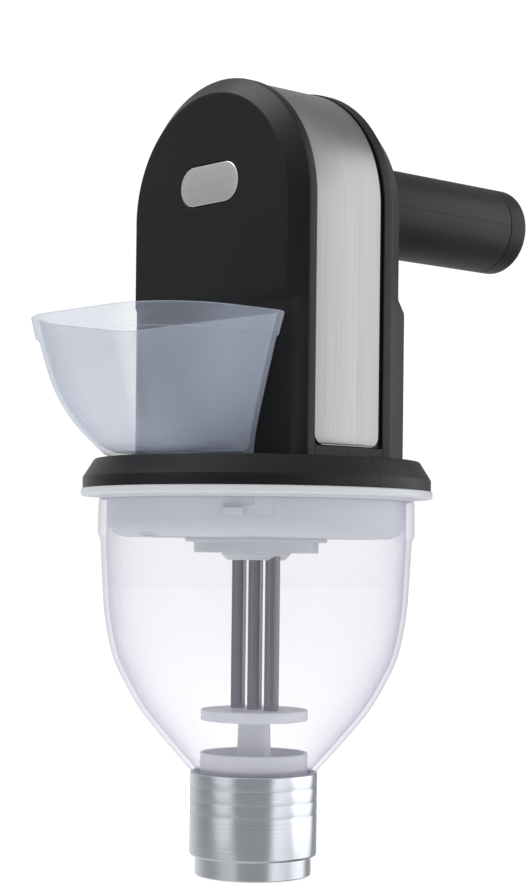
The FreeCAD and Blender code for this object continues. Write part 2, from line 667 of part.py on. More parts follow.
def make_frame_screws():
    end = REAR_Y - FRAME_SCREW_REST
    head_r = FRAME_SCREW_R * HEAD_RATIO
    return [rod_y(FRAME_SCREW_R, FRONT_PLATE_Y, end, x, z).fuse(
        rod_y(head_r, FRONT_PLATE_Y - 2, FRONT_PLATE_Y, x, z)) for x, z in pillar_places()]


def make_motor():
    y1 = FRONT_PLATE_Y
    y0 = y1 - MOTOR_L
    body = rod_y(MOTOR_R, y0, y1, MOTOR_X, MOTOR_Z)
    rims = [e for e in body.Edges if e.Closed and e.BoundBox.YLength < 0.01]
    body = body.makeFillet(1.5, rims)
    body = body.fuse(rod_y(MOTOR_BOSS_R, y1 - 1, y1 + PLATE_T, MOTOR_X, MOTOR_Z))
    body = body.cut(rod_y(MOTOR_SHAFT_R + RUN_FIT, y1 - 12, y1 + PLATE_T + 1, MOTOR_X, MOTOR_Z))
    for x, z in motor_screw_places():
        tip = y1 - MOTOR_SCREW_L - SCREW_ROOM
        body = body.cut(rod_y(MOTOR_SCREW_R + SCREW_FIT, tip, y1 + SLICE, x, z))
    for side in (-1, 1):
        x = MOTOR_X + side * 9
        body = body.fuse(box(x - 1.5, x + 1.5, y0 - 1.2, y0 + 0.5, MOTOR_Z - 0.4, MOTOR_Z + 0.4))
    return body


def make_motor_screws():
    y1 = FRONT_PLATE_Y + PLATE_T
    return [rod_y(MOTOR_SCREW_R, FRONT_PLATE_Y - MOTOR_SCREW_L, y1, x, z).fuse(
        rod_y(MOTOR_SCREW_HEAD_R, y1, y1 + MOTOR_SCREW_HEAD_H, x, z)) for x, z in motor_screw_places()]


def make_motor_shaft():
    return rod_y(MOTOR_SHAFT_R, FRONT_PLATE_Y - 11.5, WHEEL_Y + GEAR_W + 0.5, MOTOR_X, MOTOR_Z)


def make_motor_pinion():
    return gear(MOTOR_TEETH, MOTOR_X, MOTOR_Z, WHEEL_Y, GEAR_W, MOTOR_PHASE, MOTOR_SHAFT_R + SHAFT_FIT)


def make_mid_gear():
    """Wheel and small pinion moulded as one, on the middle shaft."""
    wheel = gear(WHEEL_TEETH, MID_X, MID_Z, WHEEL_Y, GEAR_W, WHEEL_PHASE)
    small = gear(SMALL_TEETH, MID_X, MID_Z, BIG_Y, WHEEL_Y - BIG_Y, SMALL_PHASE)
    return wheel.fuse(small).cut(rod_y(SHAFT_R + SHAFT_FIT, BIG_Y - 1, WHEEL_Y + GEAR_W + 1, MID_X, MID_Z))


def make_mid_shaft():
    return rod_y(SHAFT_R, FRONT_PLATE_Y + 0.2, REAR_PLATE_Y + PLATE_T - 0.2, MID_X, MID_Z)


def make_big_gear():
    return gear(BIG_TEETH, OUT_X, OUT_Z, BIG_Y, GEAR_W, BIG_PHASE, SHAFT_R + SHAFT_FIT)


def make_rack_pinion():
    return gear(RACK_TEETH, OUT_X, OUT_Z, PINION_Y, PINION_W, math.pi, SHAFT_R + SHAFT_FIT)


def make_out_shaft():
    return rod_y(SHAFT_R, PINION_Y, REAR_PLATE_Y + PLATE_T - 0.2, OUT_X, OUT_Z)


# ================================================================ housing shells and band

def plate_solid():
    return turned([(0, LID_TOP), (PLATE_R, LID_TOP), (PLATE_R, LID_TOP + PLATE_EDGE_H),
                   (PLATE_TOP_R, PLATE_TOP - 0.8), (PLATE_TOP_R - 0.8, PLATE_TOP), (0, PLATE_TOP)])


def plate_hollow():
    inner = rod_z(PLATE_R - PLATE_WALL, LID_TOP - 1, PLATE_TOP - PLATE_WALL - 3)
    cone_foot = V(0, 0, PLATE_TOP - PLATE_WALL - 3)
    return inner.fuse(Part.makeCone(PLATE_R - PLATE_WALL, PLATE_TOP_R - PLATE_WALL, 3, cone_foot, Z_AXIS))


def band_recess():
    y0 = -BAND_HALF_Y - BAND_GAP
    y1 = BAND_HALF_Y + BAND_REAR_GAP
    foot = BAND_FOOT - BAND_GAP
    solid = arch(HOUSE_HALF + 3, y0, y1, foot).cut(arch(BAND_R - BAND_T - 0.1, y0 - 1, y1 + 1, foot - 1))
    return round_foot(solid, foot, BAND_CORNER + BAND_GAP)


def round_foot(solid, foot, radius):
    """Rounds the four lower corners of a strap that comes down at both sides."""
    edges = [e for e in solid.Edges if abs(e.BoundBox.ZMin - foot) < 0.01
             and e.BoundBox.ZLength < 0.01 and e.BoundBox.YLength < 0.01]
    return solid.makeFillet(radius, edges)


def make_band():
    solid = arch(BAND_R, -BAND_HALF_Y, BAND_HALF_Y, BAND_FOOT)
    solid = solid.cut(arch(BAND_R - BAND_T, -BAND_HALF_Y - 1, BAND_HALF_Y + 1, BAND_FOOT - 1))
    return round_foot(solid, BAND_FOOT, BAND_CORNER)


def boss_places():
    return [(side * x, z) for x, z in BOSS_PLACES for side in (-1, 1)]


def board_post_places():
    return [(BUTTON_X + sx * BOARD_POST_X, BUTTON_Z + sz * BOARD_POST_Z) for sx in (-1, 1) for sz in (-1, 1)]


def make_front_housing():
    foot = PLATE_TOP - 4
    face_half = HOUSE_HALF - FACE_INSET
    outer = arch(HOUSE_HALF, FRONT_BEVEL_Y, 0, foot).fuse(
        arch_taper(HOUSE_HALF, FRONT_BEVEL_Y, face_half, FRONT_Y, foot))
    past = FRONT_Y - SLICE
    crease = side_prism([(LOW_FRONT_Y, CREASE_FOOT), (past, CREASE_TOP + 1.5), (past, PLATE_TOP),
                         (LOW_FRONT_Y, PLATE_TOP)])
    outer = outer.cut(crease)
    half_plate = plate_solid().common(box(-WIDE, WIDE, -WIDE, 0, LID_TOP - SLICE, PLATE_TOP + SLICE))
    body = outer.fuse(half_plate)
    bevel_in = FRONT_BEVEL_Y + 3
    cavity = arch(INNER_HALF, bevel_in, 1, LID_TOP - 1)
    nose = arch_taper(INNER_HALF, bevel_in, face_half - WALL, FRONT_Y + WALL, LID_TOP - 1)
    low_nose = box(-WIDE, WIDE, FRONT_Y - 1, LOW_FRONT_Y + WALL, LID_TOP - 2, CREASE_TOP + WALL)
    cavity = cavity.fuse(nose.cut(low_nose))
    hollow = plate_hollow().cut(box(-WIDE, WIDE, 0, WIDE, LID_TOP - 2, PLATE_TOP))
    body = body.cut(cavity).cut(hollow)
    bosses = [rod_y(BOSS_R, FRONT_Y, 0, x, z).common(outer) for x, z in boss_places()]
    wall_y = FRONT_Y + WALL
    posts = [rod_y(BOARD_POST_R, wall_y - 1, BOARD_FRONT_Y, x, z) for x, z in board_post_places()]
    collar = rod_z(NECK_R + SEAT_GAP + NECK_COLLAR_T, LID_TOP, PLATE_TOP - 1, 0, FEED_Y)
    body = body.fuse(bosses + posts + [collar])
    body = body.cut(rod_z(NECK_R + SEAT_GAP, LID_TOP - 1, PLATE_TOP + 1, 0, FEED_Y))
    body = body.cut(stadium(BUTTON_L + 2 * BUTTON_GAP, BUTTON_W + 2 * BUTTON_GAP, FRONT_Y - 1, wall_y + 1))
    for x, z in boss_places():
        body = body.cut(rod_y(HOUSE_SCREW_R + SCREW_FIT, HOUSE_SCREW_TIP_Y - 0.5, SLICE, x, z))
    for x, z in board_post_places():
        tip = BOARD_FRONT_Y - BOARD_SCREW_L - 0.5
        body = body.cut(rod_y(BOARD_SCREW_R + SCREW_FIT, tip, BOARD_FRONT_Y + SLICE, x, z))
    body = body.cut(band_recess())
    return body.removeSplitter()


def make_rear_housing():
    foot = PLATE_TOP - 4
    face_half = HOUSE_HALF - FACE_INSET
    outer = arch(HOUSE_HALF, 0, REAR_BEVEL_Y, foot).fuse(
        arch_taper(HOUSE_HALF, REAR_BEVEL_Y, face_half, REAR_Y, foot))
    low = arch_taper(HOUSE_HALF, REAR_BEVEL_Y, face_half, LOW_REAR_Y, foot)
    past = LOW_REAR_Y + SLICE
    slant = side_prism([(REAR_BEVEL_Y, STEP_TOP + 12), (REAR_Y, STEP_TOP), (LOW_REAR_Y, STEP_FOOT),
                        (past, STEP_FOOT), (past, foot), (REAR_BEVEL_Y, foot)])
    outer = outer.fuse(low.common(slant))
    half_plate = plate_solid().common(box(-WIDE, WIDE, 0, WIDE, LID_TOP - SLICE, PLATE_TOP + SLICE))
    body = outer.fuse(half_plate)
    bevel_in = REAR_BEVEL_Y - 3
    cavity = arch(INNER_HALF, -1, bevel_in, LID_TOP - 1)
    cavity = cavity.fuse(arch_taper(INNER_HALF, bevel_in, face_half - WALL, REAR_Y - WALL, LID_TOP - 1))
    hollow = plate_hollow().cut(box(-WIDE, WIDE, -WIDE, 0, LID_TOP - 2, PLATE_TOP))
    body = body.cut(cavity).cut(hollow)
    bosses = [rod_y(BOSS_R, 0, REAR_Y, x, z).common(outer) for x, z in boss_places()]
    posts = [rod_y(PILLAR_R, REAR_PLATE_Y + PLATE_T, REAR_Y - 1, x, z) for x, z in pillar_places()]
    spigot = rod_y(GRIP_R - GRIP_WALL - SEAT_GAP, REAR_Y - 1, REAR_Y + SPIGOT_LEN, 0, GRIP_Z)
    body = body.fuse(bosses + posts + [spigot])
    body = body.cut(rod_y(GRIP_R - 2 * GRIP_WALL - SEAT_GAP, REAR_Y - 4, REAR_Y + SPIGOT_LEN + 1, 0, GRIP_Z))
    for x, z in boss_places():
        back = LOW_REAR_Y if z < STEP_TOP else REAR_Y
        body = body.cut(rod_y(HOUSE_SCREW_R + SCREW_FIT, -1, back + 1, x, z))
        body = body.cut(rod_y(HOUSE_SCREW_HEAD_R + SEAT_GAP, HEAD_SEAT_Y, back + 1, x, z))
    for x, z in pillar_places():
        tip = REAR_Y - FRAME_SCREW_REST + SCREW_ROOM
        body = body.cut(rod_y(FRAME_SCREW_R + SCREW_FIT, REAR_PLATE_Y, tip, x, z))
    body = body.cut(band_recess())
    return body.removeSplitter()


def make_housing_screws():
    top = HEAD_SEAT_Y + HOUSE_SCREW_HEAD_H
    return [rod_y(HOUSE_SCREW_R, HOUSE_SCREW_TIP_Y, HEAD_SEAT_Y, x, z).fuse(
        rod_y(HOUSE_SCREW_HEAD_R, HEAD_SEAT_Y, top, x, z)) for x, z in boss_places()]


# ================================================================ button and board

def make_button():
    lip_front = FRONT_Y + WALL + 0.3
    face = stadium(BUTTON_L, BUTTON_W, FRONT_Y - BUTTON_PROUD, lip_front + 0.5)
    front_edges = [e for e in face.Edges if abs(e.BoundBox.YMax - (FRONT_Y - BUTTON_PROUD)) < 0.01]
    face = face.makeChamfer(0.4, front_edges)
    lip = stadium(BUTTON_L + 2 * BUTTON_LIP, BUTTON_W + 2 * BUTTON_LIP, lip_front, lip_front + LIP_T)
    nub = rod_y(2.0, lip_front, BUTTON_NUB_Y, BUTTON_X, BUTTON_Z)
    return join([face, lip, nub])


def make_button_switch():
    body = box(BUTTON_X - 3, BUTTON_X + 3, BOARD_FRONT_Y - 3.2, BOARD_FRONT_Y, BUTTON_Z - 3, BUTTON_Z + 3)
    return body.fuse(rod_y(1.7, BUTTON_NUB_Y + BUTTON_TRAVEL + 0.1, BOARD_FRONT_Y - 3, BUTTON_X, BUTTON_Z))


def make_board():
    y1 = BOARD_FRONT_Y + BOARD_T
    body = box(BUTTON_X - BOARD_L / 2, BUTTON_X + BOARD_L / 2, BOARD_FRONT_Y, y1,
               BUTTON_Z - BOARD_W / 2, BUTTON_Z + BOARD_W / 2)
    for x, z in board_post_places():
        body = body.cut(rod_y(BOARD_SCREW_R + SCREW_FIT, BOARD_FRONT_Y - SLICE, y1 + SLICE, x, z))
    chip = box(BUTTON_X + 4, BUTTON_X + 12, y1 - 0.2, y1 + 1.2, BUTTON_Z - 4, BUTTON_Z + 4)
    return body.fuse(chip)


def make_board_screws():
    y1 = BOARD_FRONT_Y + BOARD_T
    return [rod_y(BOARD_SCREW_R, BOARD_FRONT_Y - BOARD_SCREW_L, y1, x, z).fuse(
        rod_y(BOARD_SCREW_HEAD_R, y1, y1 + BOARD_SCREW_HEAD_H, x, z)) for x, z in board_post_places()]


def make_button_boot():
    """Conical silicone boot round the switch, from the board to the button's lip."""
    front = FRONT_Y + WALL + 0.3 + LIP_T + 0.1
    back = BOARD_FRONT_Y - 0.1
    foot = back - BOOT_FOOT
    outline = [(BOOT_R1, front), (BOOT_R1 + BOOT_WALL, front), (BOOT_R0, foot), (BOOT_R0 + BOOT_FOOT, foot),
               (BOOT_R0 + BOOT_FOOT, back), (BOOT_R0 - BOOT_WALL, back), (BOOT_R0 - BOOT_WALL, foot)]
    corners = [V(BUTTON_X + r, y, BUTTON_Z) for r, y in outline]
    face = Part.Face(Part.makePolygon(corners + corners[:1]))
    return face.revolve(V(BUTTON_X, 0, BUTTON_Z), Y_AXIS, 360)


# ================================================================ handle

def make_grip_half(side):
    """Half of the grip's tube, above (+1) or below (-1) the parting line."""
    y0 = REAR_Y + SEAM_GAP
    y1 = CAP_SEAM - SEAM_GAP
    tube = rod_y(GRIP_R, y0, y1, 0, GRIP_Z).cut(rod_y(GRIP_R - GRIP_WALL, y0 - 1, y1 + 1, 0, GRIP_Z))
    low = GRIP_Z + GRIP_PARTING if side > 0 else GRIP_Z - WIDE
    high = GRIP_Z + WIDE if side > 0 else GRIP_Z - GRIP_PARTING
    return tube.common(box(-WIDE, WIDE, y0 - SLICE, y1 + SLICE, low, high))


def make_grip_cap():
    body = rod_y(GRIP_R, CAP_SEAM, GRIP_END, 0, GRIP_Z)
    far = [e for e in body.Edges if e.Closed and abs(e.BoundBox.YMin - GRIP_END) < 0.01]
    body = body.makeFillet(3.0, far)
    plug = rod_y(GRIP_R - GRIP_WALL - SEAT_GAP, CAP_SEAM - 2.5, CAP_SEAM + 1, 0, GRIP_Z)
    body = body.fuse(plug)
    body = body.cut(rod_y(GRIP_R - 2 * GRIP_WALL, CAP_SEAM - 4, GRIP_END - 2.5, 0, GRIP_Z))
    half = PORT_HALF + PORT_FIT
    high = PORT_H / 2 + PORT_FIT
    return body.cut(box(-half, half, GRIP_END - 4, GRIP_END + SLICE, GRIP_Z - high, GRIP_Z + high))


def make_charge_socket():
    high = PORT_H / 2
    shell = box(-PORT_HALF, PORT_HALF, GRIP_END - 7.5, GRIP_END - 0.6, GRIP_Z - high, GRIP_Z + high)
    half = PORT_HALF - 0.5
    high -= PORT_WALL
    return shell.cut(box(-half, half, GRIP_END - 6.5, GRIP_END, GRIP_Z - high, GRIP_Z + high))


def make_charge_board():
    y0 = CELL_FOOT_Y + CELL_L + CONTACT_T
    y1 = GRIP_END - 2.7
    half = GRIP_R - 2 * GRIP_WALL - SEAT_GAP
    top = GRIP_Z - PORT_H / 2
    return box(-half * 0.94, half * 0.94, y0, y1, top - 1.6, top)


def make_cells():
    top = CELL_FOOT_Y + CELL_L
    return [rod_y(CELL_R, CELL_FOOT_Y, top, side * (CELL_R + CELL_GAP), GRIP_Z) for side in (-1, 1)]


def make_cell_tray():
    """Saddle that beds the cells in the lower half of the grip."""
    r = GRIP_R - GRIP_WALL - 0.1
    body = rod_y(r, CELL_FOOT_Y, CELL_FOOT_Y + CELL_L, 0, GRIP_Z)
    body = body.common(box(-WIDE, WIDE, 0, 2 * WIDE, GRIP_Z - WIDE, GRIP_Z - 3))
    for side in (-1, 1):
        x = side * (CELL_R + CELL_GAP)
        body = body.cut(rod_y(CELL_R + 0.15, CELL_FOOT_Y - SLICE, CELL_FOOT_Y + CELL_L + SLICE, x, GRIP_Z))
    return body


def make_contacts():
    r = GRIP_R - GRIP_WALL - SEAT_GAP
    front = rod_y(r, CELL_FOOT_Y - CONTACT_T, CELL_FOOT_Y, 0, GRIP_Z)
    back = rod_y(r, CELL_FOOT_Y + CELL_L, CELL_FOOT_Y + CELL_L + CONTACT_T, 0, GRIP_Z)
    return [front, back]


# ================================================================ feed cup

def d_wire(z, half, depth, front_r, inset):
    """Rounded D across the feed cup at height z: flat back, small back corners, large front corners."""
    back_r = max(CUP_BACK_CORNER - inset, 1.0)
    w = half - inset
    y_back = CUP_BACK_Y - inset
    y_front = CUP_BACK_Y - depth + inset
    r = front_r - inset
    k = math.sqrt(0.5)
    p = [V(-w + back_r, y_back, z), V(w - back_r, y_back, z), V(w, y_back - back_r, z),
         V(w, y_front + r, z), V(w - r, y_front, z), V(-w + r, y_front, z),
         V(-w, y_front + r, z), V(-w, y_back - back_r, z)]
    back_in = back_r * (1 - k)
    front_in = r * (1 - k)
    mids = [V(w - back_in, y_back - back_in, z), V(w - front_in, y_front + front_in, z),
            V(-w + front_in, y_front + front_in, z), V(-w + back_in, y_back - back_in, z)]
    edges = [Part.makeLine(p[0], p[1]), Part.Arc(p[1], mids[0], p[2]).toShape(), Part.makeLine(p[2], p[3]),
             Part.Arc(p[3], mids[1], p[4]).toShape(), Part.makeLine(p[4], p[5]),
             Part.Arc(p[5], mids[2], p[6]).toShape(), Part.makeLine(p[6], p[7]),
             Part.Arc(p[7], mids[3], p[0]).toShape()]
    return Part.Wire(edges)


def make_feed_cup():
    """Open cup: curved front, flat back, stepped rim band, and a neck down through the plate."""
    levels = [(PLATE_TOP + h, w, d, r) for h, w, d, r in HOPPER_LEVELS]
    floor, w0, d0, r0 = levels[0]
    z, w, d, r = levels[-1]
    outer = loft([d_wire(*level, 0) for level in levels], False)
    band = loft([d_wire(z, w + BAND_STEP, d + BAND_STEP, r + BAND_STEP, 0),
                 d_wire(HOPPER_TOP, w + RIM_SPREAD, d + BAND_STEP, r + BAND_STEP, 0)], True)
    inner = loft([d_wire(*level, HOPPER_WALL) for level in levels], False)
    inner = inner.cut(box(-WIDE, WIDE, -2 * WIDE, 0, floor - SLICE, floor + HOPPER_WALL))
    mouth = loft([d_wire(z, w, d, r, HOPPER_WALL),
                  d_wire(HOPPER_TOP + 1, w + RIM_SPREAD, d, r, HOPPER_WALL)], True)
    neck = rod_z(NECK_R, PLATE_TOP - NECK_LEN, floor + 0.5, 0, FEED_Y)
    passage = rod_z(NECK_R - NECK_WALL, PLATE_TOP - NECK_LEN - 1, floor + HOPPER_WALL + 1, 0, FEED_Y)
    return outer.fuse(band).fuse(neck).cut(inner.fuse(mouth)).cut(passage)


# ================================================================ write every node

os.makedirs("parts", exist_ok=True)

NODES = {
    "outlet_barrel": make_barrel, "bowl": make_bowl, "barrel_seal": make_barrel_seal,
    "lid": make_lid, "rod_guide": make_rod_guide, "rod_seals": make_rod_seals,
    "guide_screws": make_guide_screws, "bowl_gasket": make_bowl_gasket,
    "plunger_disc": make_disc, "plunger_stem": make_stem, "plunger_cup": make_cup,
    "cup_seal": make_cup_seal, "plunger_rods": make_rods,
    "crosshead": make_crosshead, "rack": make_rack, "guide_rails": make_rails,
    "rail_block_lower": lambda: make_rail_block(FRAME_FOOT, False),
    "rail_block_upper": lambda: make_rail_block(TOP_BLOCK_Z, True),
    "frame_plate_front": lambda: make_frame_plate(FRONT_PLATE_Y),
    "frame_plate_rear": lambda: make_frame_plate(REAR_PLATE_Y),
    "frame_pillars": make_pillars, "frame_screws": make_frame_screws, "shaft_bushes": make_bushes,
    "motor": make_motor, "motor_screws": make_motor_screws, "motor_shaft": make_motor_shaft,
    "motor_pinion": make_motor_pinion, "middle_gear": make_mid_gear, "middle_shaft": make_mid_shaft,
    "output_gear": make_big_gear, "rack_pinion": make_rack_pinion, "output_shaft": make_out_shaft,
    "front_housing": make_front_housing, "rear_housing": make_rear_housing, "steel_band": make_band,
    "housing_screws": make_housing_screws,
    "start_button": make_button, "button_switch": make_button_switch, "button_boot": make_button_boot,
    "control_board": make_board, "board_screws": make_board_screws,
    "handle_upper": lambda: make_grip_half(1), "handle_lower": lambda: make_grip_half(-1),
    "handle_cap": make_grip_cap, "charge_socket": make_charge_socket, "charge_board": make_charge_board,
    "battery_cells": make_cells, "cell_tray": make_cell_tray, "cell_contacts": make_contacts,
    "feed_cup": make_feed_cup,
}

for node, make in NODES.items():
    shape = save(node, make())
    facts = (node, len(shape.Solids), shape.Volume, shape.isValid())
    print("%-20s solids %d  volume %10.1f  valid %s" % facts)
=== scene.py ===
import json
import math

import bmesh
import bpy
import numpy as np
from mathutils import Matrix, Vector


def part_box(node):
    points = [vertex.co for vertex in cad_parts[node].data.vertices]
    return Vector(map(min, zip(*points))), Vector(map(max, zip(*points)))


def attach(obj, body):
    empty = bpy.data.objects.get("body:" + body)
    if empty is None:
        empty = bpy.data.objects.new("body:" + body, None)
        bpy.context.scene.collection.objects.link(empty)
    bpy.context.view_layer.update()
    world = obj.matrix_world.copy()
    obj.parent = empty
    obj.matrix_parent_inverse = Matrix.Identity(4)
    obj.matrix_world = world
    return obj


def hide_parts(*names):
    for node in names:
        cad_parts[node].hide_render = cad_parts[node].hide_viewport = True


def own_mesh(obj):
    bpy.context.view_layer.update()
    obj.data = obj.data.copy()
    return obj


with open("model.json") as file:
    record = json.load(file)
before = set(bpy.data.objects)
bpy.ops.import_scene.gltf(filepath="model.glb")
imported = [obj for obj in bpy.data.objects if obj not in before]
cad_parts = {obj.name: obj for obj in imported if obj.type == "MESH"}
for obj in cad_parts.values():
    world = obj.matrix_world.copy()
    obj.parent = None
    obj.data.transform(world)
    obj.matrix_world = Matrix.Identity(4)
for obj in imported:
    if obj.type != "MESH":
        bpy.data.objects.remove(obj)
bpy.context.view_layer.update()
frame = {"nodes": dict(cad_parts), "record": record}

MM = 0.001

# ---------------------------------------- camera
# A long lens at the height of the bowl, almost level, looking at the front right corner of the
# appliance.  The lens is shifted so that the whole height is in view without tilting.

eye = Vector((0.70742, -0.62382, 0.15090))
turn = math.radians(48.34)
rise = math.radians(0.48)
lean = math.radians(0.64)
camera_data = bpy.data.cameras.new("camera")
camera_data.sensor_width = 36.0
camera_data.lens = 80.67
camera_data.shift_y = 0.10788
camera = bpy.data.objects.new("camera", camera_data)
upright = Matrix.Rotation(math.pi / 2 + rise, 4, "X")
aim = Matrix.Rotation(turn, 4, "Z") @ upright @ Matrix.Rotation(lean, 4, "Z")
camera.matrix_world = Matrix.Translation(eye) @ aim
bpy.context.scene.collection.objects.link(camera)
bpy.context.scene.camera = camera
bpy.context.scene.view_settings.view_transform = "Standard"

# ---------------------------------------- black housing shells
# Two injection-moulded halves in black satin plastic meet in a line round the middle.  Each is
# an arch with a bevelled face, standing on half of the round base plate, with a shallow channel
# for the steel band.  Six screws in deep recesses hold them from the back.


class Field:
    """A shader value.  + - * and ** on it add Math nodes, with numbers or other values."""

    def __init__(self, finish, socket):
        self.finish = finish
        self.socket = socket

    def math(self, operation, a, b):
        """Math node on two values."""
        return self.finish.node("ShaderNodeMath", {"operation": operation}, {0: a, 1: b})

    def __add__(self, other):
        return self.math("ADD", self, other)

    def __radd__(self, other):
        return self.math("ADD", other, self)

    def __sub__(self, other):
        return self.math("SUBTRACT", self, other)

    def __rsub__(self, other):
        return self.math("SUBTRACT", other, self)

    def __mul__(self, other):
        return self.math("MULTIPLY", self, other)

    def __rmul__(self, other):
        return self.math("MULTIPLY", other, self)

    def __pow__(self, other):
        return self.math("POWER", self, other)


class Finish:
    """One material; node() adds a node from its type, its settings and its sockets' values or links."""

    def __init__(self, owner):
        self.owner = owner
        owner.use_nodes = True
        self.tree = owner.node_tree
        self.tree.nodes.clear()

    def node(self, kind, settings=None, sockets=None, take=0):
        made = self.tree.nodes.new(kind)
        for key, value in (settings or {}).items():
            if key == "stops":
                while len(made.color_ramp.elements) < len(value):
                    made.color_ramp.elements.new(0.5)
                for element, (spot, shade) in zip(made.color_ramp.elements, value):
                    element.position = spot
                    element.color = shade
            else:
                setattr(made, key, value)
        for key, value in (sockets or {}).items():
            if isinstance(value, Field):
                self.tree.links.new(value.socket, made.inputs[key])
            else:
                made.inputs[key].default_value = value
        return Field(self, made.outputs[take] if made.outputs else None)

    def place(self, stretch=(1, 1, 1), shift=(0, 0, 0), turned=(0, 0, 0)):
        """Object coordinates, stretched, shifted and turned."""
        spot = self.node("ShaderNodeTexCoord", take=3)
        return self.node("ShaderNodeMapping", None, {0: spot, 1: shift, 2: turned, 3: stretch})

    def noise(self, where, scale, detail=2.0, rough=0.5):
        """Noise from about 0.3 to 0.7."""
        return self.node("ShaderNodeTexNoise", None,
                         {"Vector": where, "Scale": scale, "Detail": detail, "Roughness": rough})

    def bump(self, height, strength, distance):
        """Normals of a relief, distance metres deep."""
        return self.node("ShaderNodeBump", None,
                         {"Strength": strength, "Distance": distance, "Height": height})

    def blend(self, mask, first, second):
        """Colour that goes from first to second as the mask goes from 0 to 1."""
        return self.node("ShaderNodeMix", {"data_type": "RGBA"}, {0: mask, 6: first, 7: second}, take=2)

    def spread(self, value, low, high, to_low, to_high):
        """Value rescaled from one range to another, and clamped."""
        return self.node("ShaderNodeMapRange", None, {0: value, 1: low, 2: high, 3: to_low, 4: to_high})

    def vary(self, noise, low, high):
        """From low to high as a noise goes over the range it mostly keeps to."""
        return self.spread(noise, 0.3, 0.7, low, high)

    def surface(self, **sockets):
        """Principled surface from socket names, with spaces written as underscores."""
        named = {key.replace("_", " "): value for key, value in sockets.items()}
        shader = self.node("ShaderNodeBsdfPrincipled", None, named)
        self.node("ShaderNodeOutputMaterial", None, {0: shader})
        return self.owner


def new_finish(name):
    """Finish on a new material."""
    return Finish(bpy.data.materials.new(name))


def grey(value, warm=0.0):
    """Linear grey colour, a little warmer or, below 0, cooler."""
    return (value * (1 + warm), value, value * (1 - warm), 1)


weld_gap = 3e-6  # points nearer than this, in metres, are one point
sliver_edge = 1e-7  # edges shorter than this, in metres, are dropped


def grid_faces(rows, columns, ring_rows, ring_columns):
    """Four-sided faces of a grid stored row after row; a ring joins its last line to its first."""
    r = np.arange(rows if ring_rows else rows - 1)[:, None]
    c = np.arange(columns if ring_columns else columns - 1)[None, :]
    r1 = (r + 1) % rows
    c1 = (c + 1) % columns
    corners = [r * columns + c, r * columns + c1, r1 * columns + c1, r1 * columns + c]
    return np.stack(corners, -1).reshape(-1, 4)


def tidy(work, near=None):
    """Welds doubles, drops slivers and turns faces outwards; near is a point inside an open shell."""
    bmesh.ops.remove_doubles(work, verts=work.verts, dist=weld_gap)
    bmesh.ops.dissolve_degenerate(work, edges=work.edges, dist=sliver_edge)
    bmesh.ops.recalc_face_normals(work, faces=work.faces)
    if near is not None:
        inside = Vector(near) * MM
        lean_out = sum(f.calc_area() * f.normal.dot(f.calc_center_median() - inside) for f in work.faces)
        if lean_out < 0:
            bmesh.ops.reverse_faces(work, faces=work.faces)


def piece(name, *grids, crease=30.0, close=False, near=None):
    """One object from grids in millimetres, each (points, ring of rows, ring of columns).

    The grids are welded where they meet, and close fills the holes that are left."""
    points = []
    faces = []
    start = 0
    for grid, ring_rows, ring_columns in grids:
        rows, columns = grid.shape[:2]
        points.append(grid.reshape(-1, 3) * MM)
        faces.append(start + grid_faces(rows, columns, ring_rows, ring_columns))
        start += rows * columns
    mesh = bpy.data.meshes.new(name)
    mesh.from_pydata(np.concatenate(points).tolist(), [], np.concatenate(faces).tolist())
    work = bmesh.new()
    work.from_mesh(mesh)
    bmesh.ops.remove_doubles(work, verts=work.verts, dist=weld_gap)
    if close:
        bmesh.ops.holes_fill(work, edges=[e for e in work.edges if e.is_boundary])
    tidy(work, near)
    work.to_mesh(mesh)
    work.free()
    made = bpy.data.objects.new(name, mesh)
    bpy.context.scene.collection.objects.link(made)
    return shaded(made, crease)


def shaded(made, crease=30.0):
    """Smooth shading, with every edge sharper than crease degrees kept sharp."""
    made.data.shade_smooth()
    made.data.set_sharp_from_angle(angle=math.radians(crease))
    return made


def worked(made, crease=30.0, cutters=(), wall=None, extra=()):
    """Gives an object its wall thickness and cuts, then adds further pieces to it, all in one mesh."""
    if wall:
        solid = made.modifiers.new("wall", "SOLIDIFY")
        solid.thickness = wall * MM
        solid.offset = -1
    for cutter in cutters:
        cut = made.modifiers.new("cut", "BOOLEAN")
        cut.operation = "DIFFERENCE"
        cut.solver = "MANIFOLD"
        cut.object = cutter
    bpy.context.view_layer.update()
    view = bpy.context.evaluated_depsgraph_get()
    done = bpy.data.meshes.new_from_object(made.evaluated_get(view))
    work = bmesh.new()
    work.from_mesh(done)
    for other in extra:
        work.from_mesh(other.data)
    made.modifiers.clear()
    work.to_mesh(made.data)
    work.free()
    for gone in list(cutters) + list(extra):
        bpy.data.objects.remove(gone)
    return shaded(made, crease)


def settle(made, body, slot, material, *stands_for):
    """Gives a new piece its material, the body it rides on and the nodes it stands for; its slot is not used.
    """
    made.data.materials.clear()
    made.data.materials.append(material)
    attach(made, body)
    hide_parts(*stands_for)
    return made


